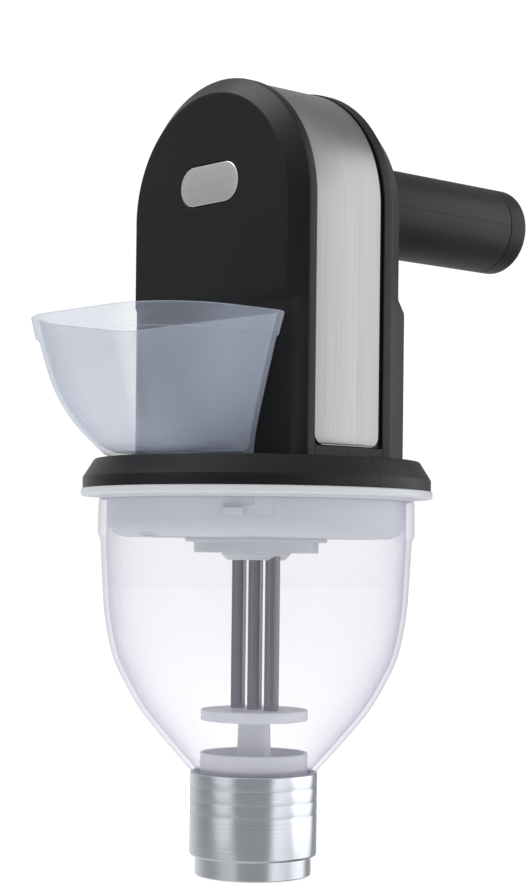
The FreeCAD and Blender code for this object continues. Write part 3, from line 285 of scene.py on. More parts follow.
def rounded(corners, radii, steps=6, closed=False):
    """Line through 2-D corners, each corner turned into an arc that touches both its sides."""
    corners = np.asarray(corners, float)
    count = len(corners)
    radii = np.broadcast_to(np.asarray(radii, float), (count,))
    line = []
    for i, corner in enumerate(corners):
        if radii[i] <= 0 or not (closed or 0 < i < count - 1):
            line.append(corner[None])
            continue
        a = corners[i - 1] - corner
        b = corners[(i + 1) % count] - corner
        room = 0.49 * min(np.linalg.norm(a), np.linalg.norm(b))
        a = a / np.linalg.norm(a)
        b = b / np.linalg.norm(b)
        half = math.acos(np.clip(a @ b, -1, 1)) / 2
        if half > math.pi / 2 - 0.01:
            line.append(corner[None])
            continue
        cut = min(radii[i] / math.tan(half), room)
        middle = corner + (a + b) / np.linalg.norm(a + b) * cut / math.cos(half)
        first = corner + a * cut - middle
        last = corner + b * cut - middle
        swing = math.atan2(first[0] * last[1] - first[1] * last[0], first @ last)
        angle = np.linspace(0, swing, steps + 1)[:, None]
        line.append(middle + np.cos(angle) * first + np.sin(angle) * np.array([-first[1], first[0]]))
    return np.concatenate(line)


def turned(profile, steps=144, axis="z", centre=(0.0, 0.0), start=0.0, sweep=2 * math.pi, closed=True):
    """Profile of (radius, height) carried round an axis.

    Across the axis a point is its radius times the cosine and sine of the angle, along it its height."""
    profile = np.asarray(profile, float)
    whole = sweep > 2 * math.pi - 1e-9
    angle = start + np.linspace(0, sweep, steps, endpoint=not whole)[:, None]
    a = centre[0] + profile[:, 0] * np.cos(angle)
    b = centre[1] + profile[:, 0] * np.sin(angle)
    along = np.broadcast_to(profile[:, 1], a.shape)
    return np.stack([a, b, along] if axis == "z" else [a, along, b], -1), whole, closed


def bar(radius, low, high, axis="z", centre=(0.0, 0.0), steps=48, edge=0.0):
    """Round bar with its end edges rounded."""
    corners = [(0, low), (radius, low), (radius, high), (0, high)]
    return turned(rounded(corners, [0, edge, edge, 0], 4), steps, axis, centre, closed=False)


def block(low, high):
    """Plain box from its lowest and highest corners."""
    x = np.array([0, 1, 1, 0])
    y = np.array([0, 0, 1, 1])
    ring = np.stack([low[0] + x * (high[0] - low[0]), low[1] + y * (high[1] - low[1])], -1)
    middle = np.broadcast_to(ring.mean(0), (4, 2))
    layers = [(middle, low[2]), (ring, low[2]), (ring, high[2]), (middle, high[2])]
    return np.stack([np.column_stack([flat, np.full(4, z)]) for flat, z in layers]), False, True


def box_mm(node):
    """Lowest and highest corners of a CAD node, in millimetres."""
    low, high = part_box(node)
    return np.array(low) / MM, np.array(high) / MM


rear_high = box_mm("rear_housing")[1]
plate_r = rear_high[0]
plate_foot = box_mm("front_housing")[0][2]
plate_top = plate_foot + 13.9
plate_bevel_r = 77  # where the flat top turns into the bevel
plate_side = 5.1  # height of the upright edge
plate_wall = 2.8
house_half = 62.0
arch_z = rear_high[2] - house_half
face_inset = 7.7
front_y = -32.0
bevel_y = -25.0
low_front_y = -29.0
crease_foot, crease_top = 266.0, 270.5
rear_y = 39.4
rear_bevel_y = 27.0
low_rear_y = 43.6
step_foot, step_top = 265.0, 271.0
channel = (-20.3, 21.8)  # the band's channel, front and rear edge
channel_foot = 200.4
channel_depth = 1.8
parting = 0.1  # half of the fine line where the two shells meet
split_z = 280.0  # the faces are plain below this and go round their opening above it
shell_wall = 2.4
button_at = (0.5, 323.0)
button_hole = (20.9, 9.65)  # half the length and half the width of the button's opening
grip_at = (0.0, 323.5)
spigot_bore, spigot_r, spigot_length = 16.7, 19.2, 20
feed_at = (0, -52)  # the feed passage, down through the plate and the lid
feed_hole_r = 13.8
well_half = 57  # half the width of the opening in the plate under the arch
screw_places = [(50.0, 218.0), (50.0, 262.0), (32.0, 351.0)]
head_seat_y = 34.0
recess_r, boss_r = 3.1, 5.2


def over_arch(side):
    """Line up the left side through the given heights, over the crown, and down the right side.

    Gives each point's outward x, the height it is measured from, and its outward z."""
    sweep = np.linspace(0, math.pi, 129)[1:-1]
    out_x = np.concatenate([np.full(len(side), -1.0), -np.cos(sweep), np.full(len(side), 1.0)])
    height = np.concatenate([side, np.full(len(sweep), arch_z), side[::-1]])
    out_z = np.concatenate([np.zeros(len(side)), np.sin(sweep), np.zeros(len(side))])
    return out_x[:, None], height[:, None], out_z[:, None]


def on_arch(line, inset):
    """x and z of an arch line moved in by inset: outward direction x (half width - inset) + height."""
    out_x, height, out_z = line
    reach = house_half - inset
    return out_x * reach, height + out_z * reach


low_rows = np.concatenate([[plate_top - 0.4, 198, channel_foot - 0.25, channel_foot + 0.25],
                           np.arange(206, 262, 8.0), np.arange(262, 274, 0.6), [276, split_z]])
arch_line = over_arch(np.concatenate([low_rows, np.linspace(split_z, arch_z, 6)[1:]]))


def front_depth(z):
    """Depth of the front face: set back under the crease."""
    return np.interp(z, [crease_foot - 0.5, crease_foot + 0.4, crease_top - 0.6, crease_top + 0.4],
                     [low_front_y, low_front_y - 0.15, front_y + 0.2, front_y])


def rear_depth(z):
    """Depth of the rear face: thicker under the step."""
    return np.interp(z, [step_foot - 0.6, step_foot + 0.5, step_top - 0.5, step_top + 0.6],
                     [low_rear_y, low_rear_y - 0.4, rear_y + 0.35, rear_y])


def oblong(angle, centre, half_length, half_width):
    """Stadium outline as the reach from its centre in each direction."""
    run = half_length - half_width
    c = np.cos(angle)
    s = np.sin(angle)
    flat = half_width / np.maximum(np.abs(s), 1e-9)
    end = run * np.abs(c) + np.sqrt(np.maximum(half_width ** 2 - (run * s) ** 2, 0))
    reach = np.where(np.abs(c) * flat <= run, flat, end)
    return np.stack([centre[0] + c * reach, centre[1] + s * reach], -1)


face_columns = 49  # points across the face where its two parts meet
face_rings = 14  # rings from the opening out to the arch
edge_round = 0.5  # rounding of the opening's edge


def arch_shell(name, profile, depth_of, centre, half_length, half_width, lip, near):
    """Arch from its parting edge over the bevel to a face that goes round one opening.

    The side is the profile (inset, depth) carried along the arch; the upper face is rings between
    the opening and the arch; the lower face is a plain grid; the lip turns into the opening."""
    in_channel = (profile[:, 1] > channel[0] - 0.01) & (profile[:, 1] < channel[1] + 0.01)
    above = np.clip((arch_line[1] - channel_foot + 0.25) / 0.5, 0, 1) + arch_line[2]
    inset = np.where(in_channel, profile[:, 0] * np.minimum(above, 1), profile[:, 0])
    x, z = on_arch(arch_line, inset)
    side = np.stack([x, depth_of(np.broadcast_to(profile[:, 1], z.shape), z), z], -1)
    face_y = profile[0, 1]
    outline = side[len(low_rows) - 1:len(side) - len(low_rows) + 1, 0]
    line_x = np.linspace(outline[-1, 0], outline[0, 0], face_columns)
    foot_line = np.full(face_columns - 2, split_z)
    foot_y = depth_of(np.full(face_columns - 2, face_y), foot_line)
    outer = np.concatenate([outline, np.stack([line_x[1:-1], foot_y, foot_line], -1)])
    angle = np.arctan2(outer[:, 2] - centre[1], outer[:, 0] - centre[0])
    share = (np.linspace(0, 1, face_rings) ** 1.3)[:, None, None]
    inner = oblong(angle, centre, half_length + edge_round, half_width + edge_round)
    flat = inner + (outer[:, [0, 2]] - inner) * share
    flat_y = depth_of(np.full(flat.shape[:2], face_y), flat[..., 1])
    rings = np.stack([flat[..., 0], flat_y, flat[..., 1]], -1)
    turn_in = []
    for shrink, y in lip:
        line = oblong(angle, centre, half_length - shrink, half_width - shrink)
        turn_in.append(np.stack([line[:, 0], np.full(len(line), y), line[:, 1]], -1))
    upper = np.concatenate([np.array(turn_in), rings])
    grid_x, grid_z = np.meshgrid(line_x, low_rows)
    lower = np.stack([grid_x, depth_of(np.full(grid_x.shape, face_y), grid_z), grid_z], -1)
    return piece(name, (side, False, False), (upper, False, True), (lower, False, False), near=near)


def front_set(y, z):
    """Depth on the front shell: no further forward than the face at that height."""
    return np.maximum(y, front_depth(z))


def rear_set(y, z):
    """Depth on the rear shell: past the bevel it is stretched to reach the face at that height."""
    low = rear_bevel_y + (y - rear_bevel_y) * (rear_depth(z) - rear_bevel_y) / (rear_y - rear_bevel_y)
    return np.where(y > rear_bevel_y, low, y)


def plate_half(sign):
    """Half of the round base plate: its section turned through half a turn and closed at the parting line."""
    inner_r = plate_r - plate_wall
    under = plate_top - plate_wall
    section = rounded([(0, plate_top), (plate_bevel_r, plate_top), (plate_r, plate_foot + plate_side),
                       (plate_r, plate_foot), (inner_r, plate_foot), (inner_r, under - 3),
                       (plate_bevel_r - 3, under), (0, under)], [0, 1.3, 0.9, 0.4, 0.3, 0, 0, 0], 5)
    points, _, _ = turned(section, 121, sweep=math.pi)
    points[..., 1] = np.maximum(points[..., 1], parting) * sign
    return piece("plate", (points, False, True), close=True, crease=25)


def satin_black(name, tone, gloss=0.36):
    """Black moulded plastic: spark-eroded grain, with tone and gloss that vary in slow clouds."""
    finish = new_finish(name)
    where = finish.place()
    grain = finish.noise(where, 2400.0, 2.0)
    cloud = finish.noise(where, 24.0, 3.0)
    colour = finish.blend(cloud, grey(tone * 0.84, -0.03), grey(tone * 1.2, -0.05))
    rough = finish.vary(cloud, gloss - 0.04, gloss + 0.05) + grain * 0.08
    return finish.surface(Base_Color=colour, Roughness=rough, Normal=finish.bump(grain, 0.16, 0.00005),
                          Specular_IOR_Level=0.33)


housing_black = satin_black("housing_black", 0.0045)
channel_lines = [(channel_depth, channel[0]), (channel_depth, -parting)]
front_profile = rounded([(face_inset + 6, front_y), (face_inset, front_y), (0, bevel_y), (0, channel[0])]
                        + channel_lines, [0, 1.6, 1.6, 0.5, 0.3, 0], 5)[1:]
button_lip = [(0.1, front_y + 2.6), (0.0, front_y + 0.5), (-0.08, front_y + 0.2), (-0.3, front_y + 0.03)]
front_arch = arch_shell("front_housing_shell", front_profile, front_set, button_at, *button_hole,
                        button_lip, (0, -5, 290))
feed_hole = piece("feed_hole", bar(feed_hole_r, plate_foot - 2, plate_top + 2, centre=feed_at, steps=96))
front_well = piece("front_well", block((-well_half, -26, plate_foot - 2), (well_half, 2, plate_top + 2)))
front_plate = worked(plate_half(-1), 25, [feed_hole, front_well])
front_shell = worked(front_arch, 34, wall=shell_wall, extra=[front_plate])
settle(front_shell, "housing", "black_plastic", housing_black, "front_housing")

rear_corners = [(face_inset + 6, rear_y), (face_inset, rear_y), (0, rear_bevel_y), (0, channel[1]),
                (channel_depth, channel[1]), (channel_depth, parting)]
rear_profile = rounded(rear_corners, [0, 1.8, 1.8, 0.5, 0.3, 0], 5)[1:]
grip_lip = [(0.0, rear_y - 2.4), (0.0, rear_y - 0.4), (-0.2, rear_y - 0.05)]
rear_arch = arch_shell("rear_housing_shell", rear_profile, rear_set, grip_at, spigot_bore, spigot_bore - 0.01,
                       grip_lip, (0, 5, 290))
recesses = []
bosses = []
for x, z in [(side * x, z) for x, z in screw_places for side in (-1, 1)]:
    face_y = low_rear_y if z < step_top else rear_y
    recesses.append(piece("recess", bar(recess_r, head_seat_y, face_y + 2, "y", (x, z))))
    tube = rounded([(recess_r, head_seat_y - 2), (boss_r, head_seat_y - 2), (boss_r, face_y - 1.6),
                    (recess_r, face_y - 1.6)], [0, 0.3, 0, 0], closed=True)
    bosses.append(piece("boss", turned(tube, 40, "y", (x, z))))
spigot_line = [(spigot_bore, rear_y - 1), (spigot_r, rear_y - 1), (spigot_r, rear_y + spigot_length),
               (spigot_bore, rear_y + spigot_length)]
spigot = piece("spigot", turned(spigot_line, 72, "y", grip_at))
rear_well = piece("rear_well", block((-well_half, -2, plate_foot - 2), (well_half, 36, plate_top + 2)))
rear_plate = worked(plate_half(1), 25, [rear_well])
rear_shell = worked(rear_arch, 34, recesses, shell_wall, bosses + [spigot, rear_plate])
settle(rear_shell, "housing", "black_plastic", housing_black, "rear_housing")

# ---------------------------------------- steel band
# A strap of 1 mm stainless steel, brushed along its length, bent over the arch and sprung into
# the channel.  Its lower corners are rounded, and its edges are broken.


def brushed(name, tone, stretch, rough=0.3, warm=0.0):
    """Brushed steel: hair lines along one direction in colour, roughness and relief."""
    finish = new_finish(name)
    hair = finish.noise(finish.place(stretch), 1.0, 4.0, 0.65)
    fine = finish.noise(finish.place(tuple(2.7 * s for s in stretch), (3, 1, 2)), 1.0, 2.0)
    cloud = finish.noise(finish.place(), 18.0, 2.0)
    streak = hair * 0.65 + fine * 0.35
    mask = finish.vary(streak, 0, 1)
    colour = finish.blend(mask, grey(tone * 0.86, warm), grey(tone * 1.1, warm))
    roughness = finish.vary(streak, rough + 0.06, rough - 0.05) + cloud * 0.06
    return finish.surface(Base_Color=colour, Metallic=1.0, Roughness=roughness,
                          Normal=finish.bump(streak, 0.22, 0.00006))


band_low, band_high = box_mm("steel_band")
band_foot = band_low[2]
band_inset = house_half - band_high[0]
band_thick = 1.0
band_half = band_high[1]
band_corner = 5.0
end_rows = band_foot + band_corner * (1 - np.cos(np.linspace(0, math.pi / 2, 9)))
side_rows = np.concatenate([end_rows, np.linspace(band_foot + 8, arch_z, 14)])
strap_line = over_arch(side_rows)
strap = rounded([(band_inset, -band_half), (band_inset, band_half), (band_inset + band_thick, band_half),
                 (band_inset + band_thick, -band_half)], 0.22, 3, closed=True)
to_corner = np.clip(band_corner - (strap_line[1] - band_foot), 0, band_corner)
narrow = 1 - (band_corner - np.sqrt(band_corner ** 2 - to_corner ** 2)) / band_half
strap_x, strap_z = on_arch(strap_line, strap[:, 0])
strap_points = np.stack([strap_x, strap[:, 1] * narrow, strap_z], -1)
band = piece("steel_strap", (strap_points, False, True), close=True, crease=40)
settle(band, "housing", "brushed_steel", brushed("band_steel", 0.39, (9, 2600, 9), 0.3), "steel_band")

# ---------------------------------------- start button
# A stamped steel oblong, brushed across, that stands 0.4 mm out of the front.  A lip behind it
# keeps it in the shell, and a nub in its middle presses the switch.

button_r, button_lip_r = 9.25, 11.25  # radius of the oblong's ends, outside and on the lip behind
button_run = 11.25  # from the oblong's middle to the centre of either end
button_face, lip_front, lip_back = front_y - 0.4, front_y + 3.1, front_y + 4.4
button_profile = rounded([(0.0, button_face), (button_r, button_face), (button_r, lip_front),
                          (button_lip_r, lip_front), (button_lip_r, lip_back), (0.0, lip_back)],
                         [0, 0.55, 0, 0.2, 0.2, 0], 4)
ring_angle = np.concatenate([np.linspace(-math.pi / 2, math.pi / 2, 33),
                             np.linspace(math.pi / 2, 1.5 * math.pi, 33)])
ring_shift = np.repeat([button_run, -button_run], 33)
button_x = button_at[0] + ring_shift[:, None] + button_profile[:, 0] * np.cos(ring_angle)[:, None]
button_z = button_at[1] + button_profile[:, 0] * np.sin(ring_angle)[:, None]
button_grid = np.stack([button_x, np.broadcast_to(button_profile[:, 1], button_x.shape), button_z], -1)
button = piece("start_button_cap", (button_grid, True, False), crease=35)
nub_r, nub_out = 2.0, 1.0
nub = piece("nub", bar(nub_r, lip_back - 0.8, lip_back + nub_out, "y", button_at, 32, 0.3))
worked(button, 35, extra=[nub])
settle(button, "button", "brushed_steel", brushed("button_steel", 0.82, (14, 14, 2600), 0.3), "start_button")

# ---------------------------------------- grip
# Two half tubes in soft-touch dark plastic screwed to the spigot of the rear shell, with a fine
# line between them along each side, and a pressed-in end cap with the charging port.

grip_r = 21.9
grip_z = grip_at[1]
grip_wall = 2.5
port_half = (4.7, 1.75)
grip_foot, grip_seam, grip_end = 39.6, 155.2, 168.2
grip_plastic = satin_black("grip_plastic", 0.013, 0.42)
tube_section = rounded([(grip_r, grip_foot), (grip_r, grip_seam), (grip_r - grip_wall, grip_seam),
                        (grip_r - grip_wall, grip_foot)], [0.35, 0.5, 0, 0], 4, closed=True)
for name, sign in (("handle_upper", 1), ("handle_lower", -1)):
    half, _, _ = turned(tube_section, 97, "y", (0, 0), sweep=math.pi)
    half[..., 2] = grip_z + sign * np.maximum(half[..., 2], 0.06)
    shell = piece(name + "_shell", (half, False, True), close=True)
    settle(shell, "housing", "grip_plastic", grip_plastic, name)
cap_section = rounded([(0, grip_end), (grip_r, grip_end), (grip_r, grip_seam + 0.2),
                       (grip_r - 2.7, grip_seam + 0.2), (grip_r - 2.7, grip_seam - 2.3),
                       (grip_r - 5, grip_seam - 2.3), (grip_r - 5, grip_end - 2.5), (0, grip_end - 2.5)],
                      [0, 3.2, 0.4, 0, 0.3, 0, 0, 0], 8)
cap = piece("handle_end_cap", turned(cap_section, 144, "y", grip_at, closed=False))
port = piece("port", block((-port_half[0], grip_end - 4, grip_z - port_half[1]),
                           (port_half[0], grip_end + 1, grip_z + port_half[1])))
settle(worked(cap, 30, [port]), "housing", "grip_plastic", grip_plastic, "handle_cap")

# ---------------------------------------- feed cup
# A milky translucent moulding: a rounded D from above, flat against the housing, with a thicker
# stepped band round its rim and a short neck that pushes down through the plate.

cup_back = -33.0
cup_wall = 2.2
cup_top = box_mm("feed_cup")[1][2]
back_corner = 10  # radius of the two corners against the housing
rim_out, rim_step, rim_spread = 1.3, 0.1, 4.0
neck_bore, neck_r = 11.8, 13.6
# Height over the plate, half the width, depth, and radius of the front corners, from the foot up.
cup_levels = np.array([(0.2, 41.0, 40.5, 30.0), (9.0, 42.3, 52.0, 31.5), (18.0, 44.6, 61.0, 33.0),
                       (32.0, 49.0, 68.5, 35.0), (53.0, 55.8, 72.6, 37.0)])


def smooth_line(points, steps):
    """Catmull-Rom line through points: a cubic on each run, tangent to its neighbours' chord."""
    points = np.asarray(points, float)
    padded = np.concatenate([[2 * points[0] - points[1]], points, [2 * points[-1] - points[-2]]])
    t = np.linspace(0, 1, steps, endpoint=False)[:, None]
    p0, p1, p2, p3 = [padded[i:len(padded) - 3 + i, None] for i in range(4)]
    line = 0.5 * (2 * p1 + (p2 - p0) * t + (2 * p0 - 5 * p1 + 4 * p2 - p3) * t ** 2
                  + (3 * p1 - p0 - 3 * p2 + p3) * t ** 3)
    return np.concatenate([line.reshape(-1, points.shape[1]), points[-1:]])


def rounded_d(z, half, depth, front_r, inset):
    """Rounded D at height z: four quarter arcs about their corner centres, joined by straight runs."""
    w = half - inset
    back = cup_back - inset
    front = cup_back - depth + inset
    rb = max(back_corner - inset, 1.0)
    rf = front_r - inset
    centres = np.array([(w - rb, back - rb), (w - rf, front + rf), (rf - w, front + rf), (rb - w, back - rb)])
    radii = np.array([rb, rf, rf, rb])
    angle = np.radians(np.array([90, 0, -90, -180])[:, None] - np.linspace(0, 90, 17))
    arcs = centres[:, None] + radii[:, None, None] * np.stack([np.cos(angle), np.sin(angle)], -1)
    along = np.linspace(0, 1, 12)[1:-1, None]
    runs = [arcs[i, -1] + (arcs[(i + 1) % 4, 0] - arcs[i, -1]) * along for i in range(4)]
    flat = np.concatenate([part for i in range(4) for part in (arcs[i], runs[i])])
    return np.column_stack([flat, np.full(len(flat), z)])


def neck_ring(radius, z, like):
    """Circle about the feed passage, each point in the direction of the matching point of the D."""
    angle = np.arctan2(like[:, 1] - feed_at[1], like[:, 0])
    y = feed_at[1] + radius * np.sin(angle)
    return np.column_stack([radius * np.cos(angle), y, np.full(len(like), z)])


fine_levels = smooth_line(cup_levels, 7)
fine_levels[:, 0] += plate_top
foot_d = fine_levels[0]
brow = fine_levels[-1]
floor_in = foot_d[0] + cup_wall
outer_wall = [rounded_d(*level, 0.0) for level in fine_levels]
outer_wall[0] = rounded_d(*foot_d, 1.4)
outer_wall.insert(1, rounded_d(foot_d[0] + 0.4, *foot_d[1:], 0.4))
outer_wall.insert(2, rounded_d(foot_d[0] + 1.3, *fine_levels[1][1:], 0.25))
rim_path = rounded([(0, brow[0]), (rim_out, brow[0] + rim_step), (rim_out, cup_top), (-cup_wall, cup_top),
                    (-cup_wall, brow[0])], [0, 0.35, 0.9, 0.9, 0], 4)[1:-1]
spread_out = rim_spread * np.clip((rim_path[:, 1] - brow[0]) / (cup_top - brow[0]), 0, 1)
rim_wall = [rounded_d(z, brow[1] + out + more, brow[2] + out, brow[3] + out, 0.0) if out > -0.5
            else rounded_d(z, brow[1] + more, brow[2], brow[3], -out)
            for (out, z), more in zip(rim_path, spread_out)]
inner_wall = [rounded_d(*level, cup_wall) for level in fine_levels[::-1] if level[0] > floor_in + 2]
floor_ring = rounded_d(floor_in, *fine_levels[1][1:], cup_wall + 2.5)
corner_ring = rounded_d(floor_in + 0.8, *fine_levels[1][1:], cup_wall + 0.6)
neck_rows = [neck_ring(r, z, floor_ring) for r, z in
             [(neck_bore + 1.4, floor_in), (neck_bore + 0.3, floor_in - 0.4), (neck_bore, floor_in - 1.4),
              (neck_bore, plate_top - 10.6), (neck_bore + 0.4, plate_top - 11),
              (neck_r - 0.4, plate_top - 11), (neck_r, plate_top - 10.6), (neck_r, foot_d[0])]]
share = np.linspace(0, 1, 8)[1:-1, None, None]
floor_rows = list(floor_ring + (neck_rows[0] - floor_ring) * share)
under_rows = list(neck_rows[-1] + (outer_wall[0] - neck_rows[-1]) * share)
cup_grid = np.stack(outer_wall + rim_wall + inner_wall + [corner_ring, floor_ring] + floor_rows
                    + neck_rows + under_rows)
feed_cup = piece("feed_cup_shell", (cup_grid, True, True), crease=40)

finish = new_finish("milky_plastic")
where = finish.place()
cloud = finish.noise(where, 14.0, 3.0)
edge = finish.node("ShaderNodeLayerWeight", None, {"Blend": 0.35}, take=1)
speck = finish.noise(where, 900.0, 2.0)
milky = finish.surface(
    Base_Color=finish.blend(cloud, (0.47, 0.53, 0.64, 1), (0.52, 0.57, 0.68, 1)),
    Roughness=finish.vary(speck, 0.28, 0.36), Normal=finish.bump(speck, 0.01, 0.00003),
    Alpha=finish.spread(edge + cloud * 0.06, 0.0, 0.9, 0.12, 0.55))
settle(feed_cup, "feed", "frosted_plastic", milky, "feed_cup")

# ---------------------------------------- lid
# A white lid fixed under the plate: a thin flange over the bowl's rim, a collar inside it with
# three bayonet lugs, and a floor with the feed passage.


def satin_white(name, tone, rough=0.34, cool=-0.03):
    """White moulding: faint cloudiness in the colour, fine grain, and soft gloss that varies a little."""
    finish = new_finish(name)
    where = finish.place()
    cloud = finish.noise(where, 20.0, 3.0)
    grain = finish.noise(where, 1500.0, 2.0)
    colour = finish.blend(cloud, grey(tone * 0.96, cool), grey(tone * 1.04, cool))
    return finish.surface(Base_Color=colour,
                          Roughness=finish.vary(cloud, rough - 0.04, rough + 0.05),
                          Normal=finish.bump(grain, 0.08, 0.00004))


lid_foot = box_mm("lid")[0][2]
lid_top = box_mm("lid")[1][2]
flange_r = 83.25
flange_foot = lid_top - 3.6
collar_r = 70.5
lid_wall = 2.5
guide_hole_r = 20.2
passage_r = 13.0
chute_foot = lid_foot + 0.5
lug_root, lug_tip = 69.5, 72.8
lug_foot, lug_top = 168.6, 172.1
lug_start, lug_width = -53, 7  # degrees; the three lugs are a third of a turn apart
lid_section = rounded([(guide_hole_r, lid_foot), (collar_r, lid_foot), (collar_r, flange_foot),
                       (flange_r, flange_foot), (flange_r, lid_top), (collar_r - lid_wall, lid_top),
                       (collar_r - lid_wall, lid_foot + lid_wall), (guide_hole_r, lid_foot + lid_wall)],
                      [0, 8.0, 0.5, 0.9, 0.9, 0.3, 6.0, 0], 8, closed=True)
lid = piece("lid_shell", turned(lid_section, 192))
passage = piece("passage", bar(passage_r, lid_foot - 2, lid_top + 2, centre=feed_at, steps=96))
chute = piece("chute", turned([(passage_r, chute_foot), (passage_r + lid_wall, chute_foot),
                               (passage_r + lid_wall, lid_top), (passage_r, lid_top)], 96, centre=feed_at))
lug_section = rounded([(lug_root, lug_foot), (lug_tip, lug_foot), (lug_tip, lug_top), (lug_root, lug_top)],
                      [0, 0.4, 0.4, 0], 3, closed=True)
lugs = []
for k in range(3):
    lug = turned(lug_section, 9, start=math.radians(lug_start + 120 * k), sweep=math.radians(lug_width))
    lugs.append(piece("lug", lug, close=True))
lid_white = satin_white("lid_white", 0.62)
settle(worked(lid, 30, [passage], extra=[chute] + lugs), "housing", "white_plastic", lid_white, "lid")

# ---------------------------------------- rod guide
# The stepped white hub under the lid, one moulding with a bore for each of the three rods.  Four
# screws hold it, and the feed passage takes a scallop out of its flange.

rod_places = (-12, 0, 12)
rod_bore = 3.7
guide_section = rounded([(0, 148.5), (13.5, 148.5), (16.4, 151.2), (16.4, 151.9), (29.6, 151.9), (29.6, 157),
                         (33.7, 157), (33.7, 159), (20, 159), (20, 190), (0, 190)],
                        [0, 0.6, 0, 0.2, 0.7, 0.3, 0.6, 0.3, 0.2, 0.5, 0], 5)
guide = piece("rod_guide_hub", turned(guide_section, 144, closed=False))
bores = [piece("bore", bar(rod_bore, 140, 200, centre=(x, 0))) for x in rod_places]
bores.append(piece("scallop", bar(passage_r, 140, 159.001, centre=feed_at, steps=96)))
guide_white = satin_white("guide_white", 0.5, 0.3)
settle(worked(guide, 30, bores), "housing", "white_plastic", guide_white, "rod_guide")

# ---------------------------------------- bowl
# A clear moulded bowl with a faint violet tint.  Its thicker rim band has three bayonet grooves
# inside, each with a detent bump; its neck seats in the outlet barrel.

bowl_curve = [(29.9, 48.6), (42.3, 62.7), (54.0, 77.1), (62.4, 91.4), (67.9, 104.1), (71.6, 123.1),
              (73.0, 144.2), (73.8, 158.0)]
bowl_wall = 2.5
rim_r, rim_foot, rim_top, rim_bore = 75.1, 160.5, 176.6, 71.0
groove_foot, groove_top, groove_depth = 168.2, 173.3, 2.2
groove_first = -53.4  # where the first groove starts, in degrees; the rest are in degrees from there
groove_end = 17.7
detent_start, detent_end, detent_foot = 8.0, 9.2, 172.4
entry_start, entry_end = 10.7, 18.2
groove_edge = 0.004  # half the width of a groove's side, in radians
outside = smooth_line(bowl_curve, 9)
slope = np.gradient(outside, axis=0)
slope /= np.linalg.norm(slope, axis=1, keepdims=True)
inside = (outside + np.stack([-slope[:, 1], slope[:, 0]], -1) * bowl_wall)[::-1]
inside = inside[inside[:, 0] > 26.5]
rim_rows = np.array([167.95, 168.45, 172.2, 172.6, 173.05, 173.55])
rim_line = rounded([bowl_curve[-1], (rim_r, rim_foot), (rim_r - 0.3, rim_top), (rim_bore, rim_top)],
                   [0, 0.8, 0.8, 0], 5)[1:]
inner_rim = np.column_stack([np.full(7, rim_bore), np.concatenate([rim_rows[::-1], [rim_foot + 1]])])
neck = np.array([(25.55, 49.1), (25.55, 34.4), (25.9, 34.0), (28.1, 34.0), (28.45, 34.4), (28.45, 48.6)])
bowl_section = np.concatenate([outside, rim_line, inner_rim, inside, neck])
whole_turn = 2 * math.pi
groove_start = np.radians(groove_first + 120.0 * np.arange(3))[:, None]
marks = np.radians(np.array([0, detent_start, detent_end, entry_start, groove_end, entry_end]))
marks = (groove_start + np.concatenate([marks - groove_edge, marks + groove_edge])).ravel() % whole_turn
marks = marks - whole_turn * (marks >= math.pi)
bowl_angle = np.unique(np.concatenate([np.linspace(-math.pi, math.pi, 180, endpoint=False), marks]))[:, None]
into = np.degrees((bowl_angle - groove_start[0]) % (whole_turn / 3))
height = bowl_section[:, 1][None]
on_rim = (np.abs(bowl_section[:, 0] - rim_bore) < 0.01)[None] & (height > groove_foot)
detent = (into > detent_start) & (into < detent_end) & (height > detent_foot)
run = (into < groove_end) & (height < groove_top) & ~detent
entry = (into > entry_start) & (into < entry_end)
radius = bowl_section[:, 0][None] + np.where(on_rim & (run | entry), groove_depth, 0.0)
bowl_points = np.stack([radius * np.cos(bowl_angle), radius * np.sin(bowl_angle),
                        np.broadcast_to(height, radius.shape)], -1)
bowl = piece("bowl_shell", (bowl_points, True, True), crease=28)

finish = new_finish("clear_plastic")
edge = finish.node("ShaderNodeLayerWeight", None, {"Blend": 0.38}, take=1)
flow = finish.noise(finish.place((1, 1, 0.4)), 16.0, 2.0)
clear = finish.surface(
    Base_Color=finish.blend(edge, (0.62, 0.61, 0.74, 1), (0.46, 0.46, 0.60, 1)),
    Roughness=finish.vary(flow, 0.05, 0.09), Normal=finish.bump(flow, 0.08, 0.0004),
    Alpha=finish.spread(edge ** 3 + flow * 0.02, 0.0, 1.0, 0.085, 0.85))
settle(bowl, "bowl_unit", "clear_plastic", clear, "bowl")

# ---------------------------------------- outlet barrel
# Turned aluminium: a barrel with three fine grooves and a rounded shoulder down to the nozzle,
# counterbored at the top for the bowl's neck.

barrel_r, nozzle_r, bore_r, seat_r = 30.2, 27.5, 25.55, 28.5
barrel_top, seat_foot, nozzle_top = 48.3, 33.8, 9.0
notch_heights = (29.6, 35.7, 42.2)
notch_half, notch_foot_half, notch_depth = 0.42, 0.34, 0.45
notches = []
for z in notch_heights:
    notches += [(barrel_r, z - notch_half), (barrel_r - notch_depth, z - notch_foot_half),
                (barrel_r - notch_depth, z + notch_foot_half), (barrel_r, z + notch_half)]
barrel_corners = ([(bore_r, 0.0), (nozzle_r, 0.0), (nozzle_r, nozzle_top), (barrel_r, nozzle_top)] + notches
                  + [(barrel_r, barrel_top), (seat_r, barrel_top), (seat_r, seat_foot), (bore_r, seat_foot)])
barrel_round = [0.3, 0.5, 0.3, 2.4] + [0.1] * len(notches) + [0.5, 0.4, 0, 0.3]
barrel_section = rounded(barrel_corners, barrel_round, 5, closed=True)
barrel = piece("outlet_barrel_shell", turned(barrel_section, 192), crease=35)

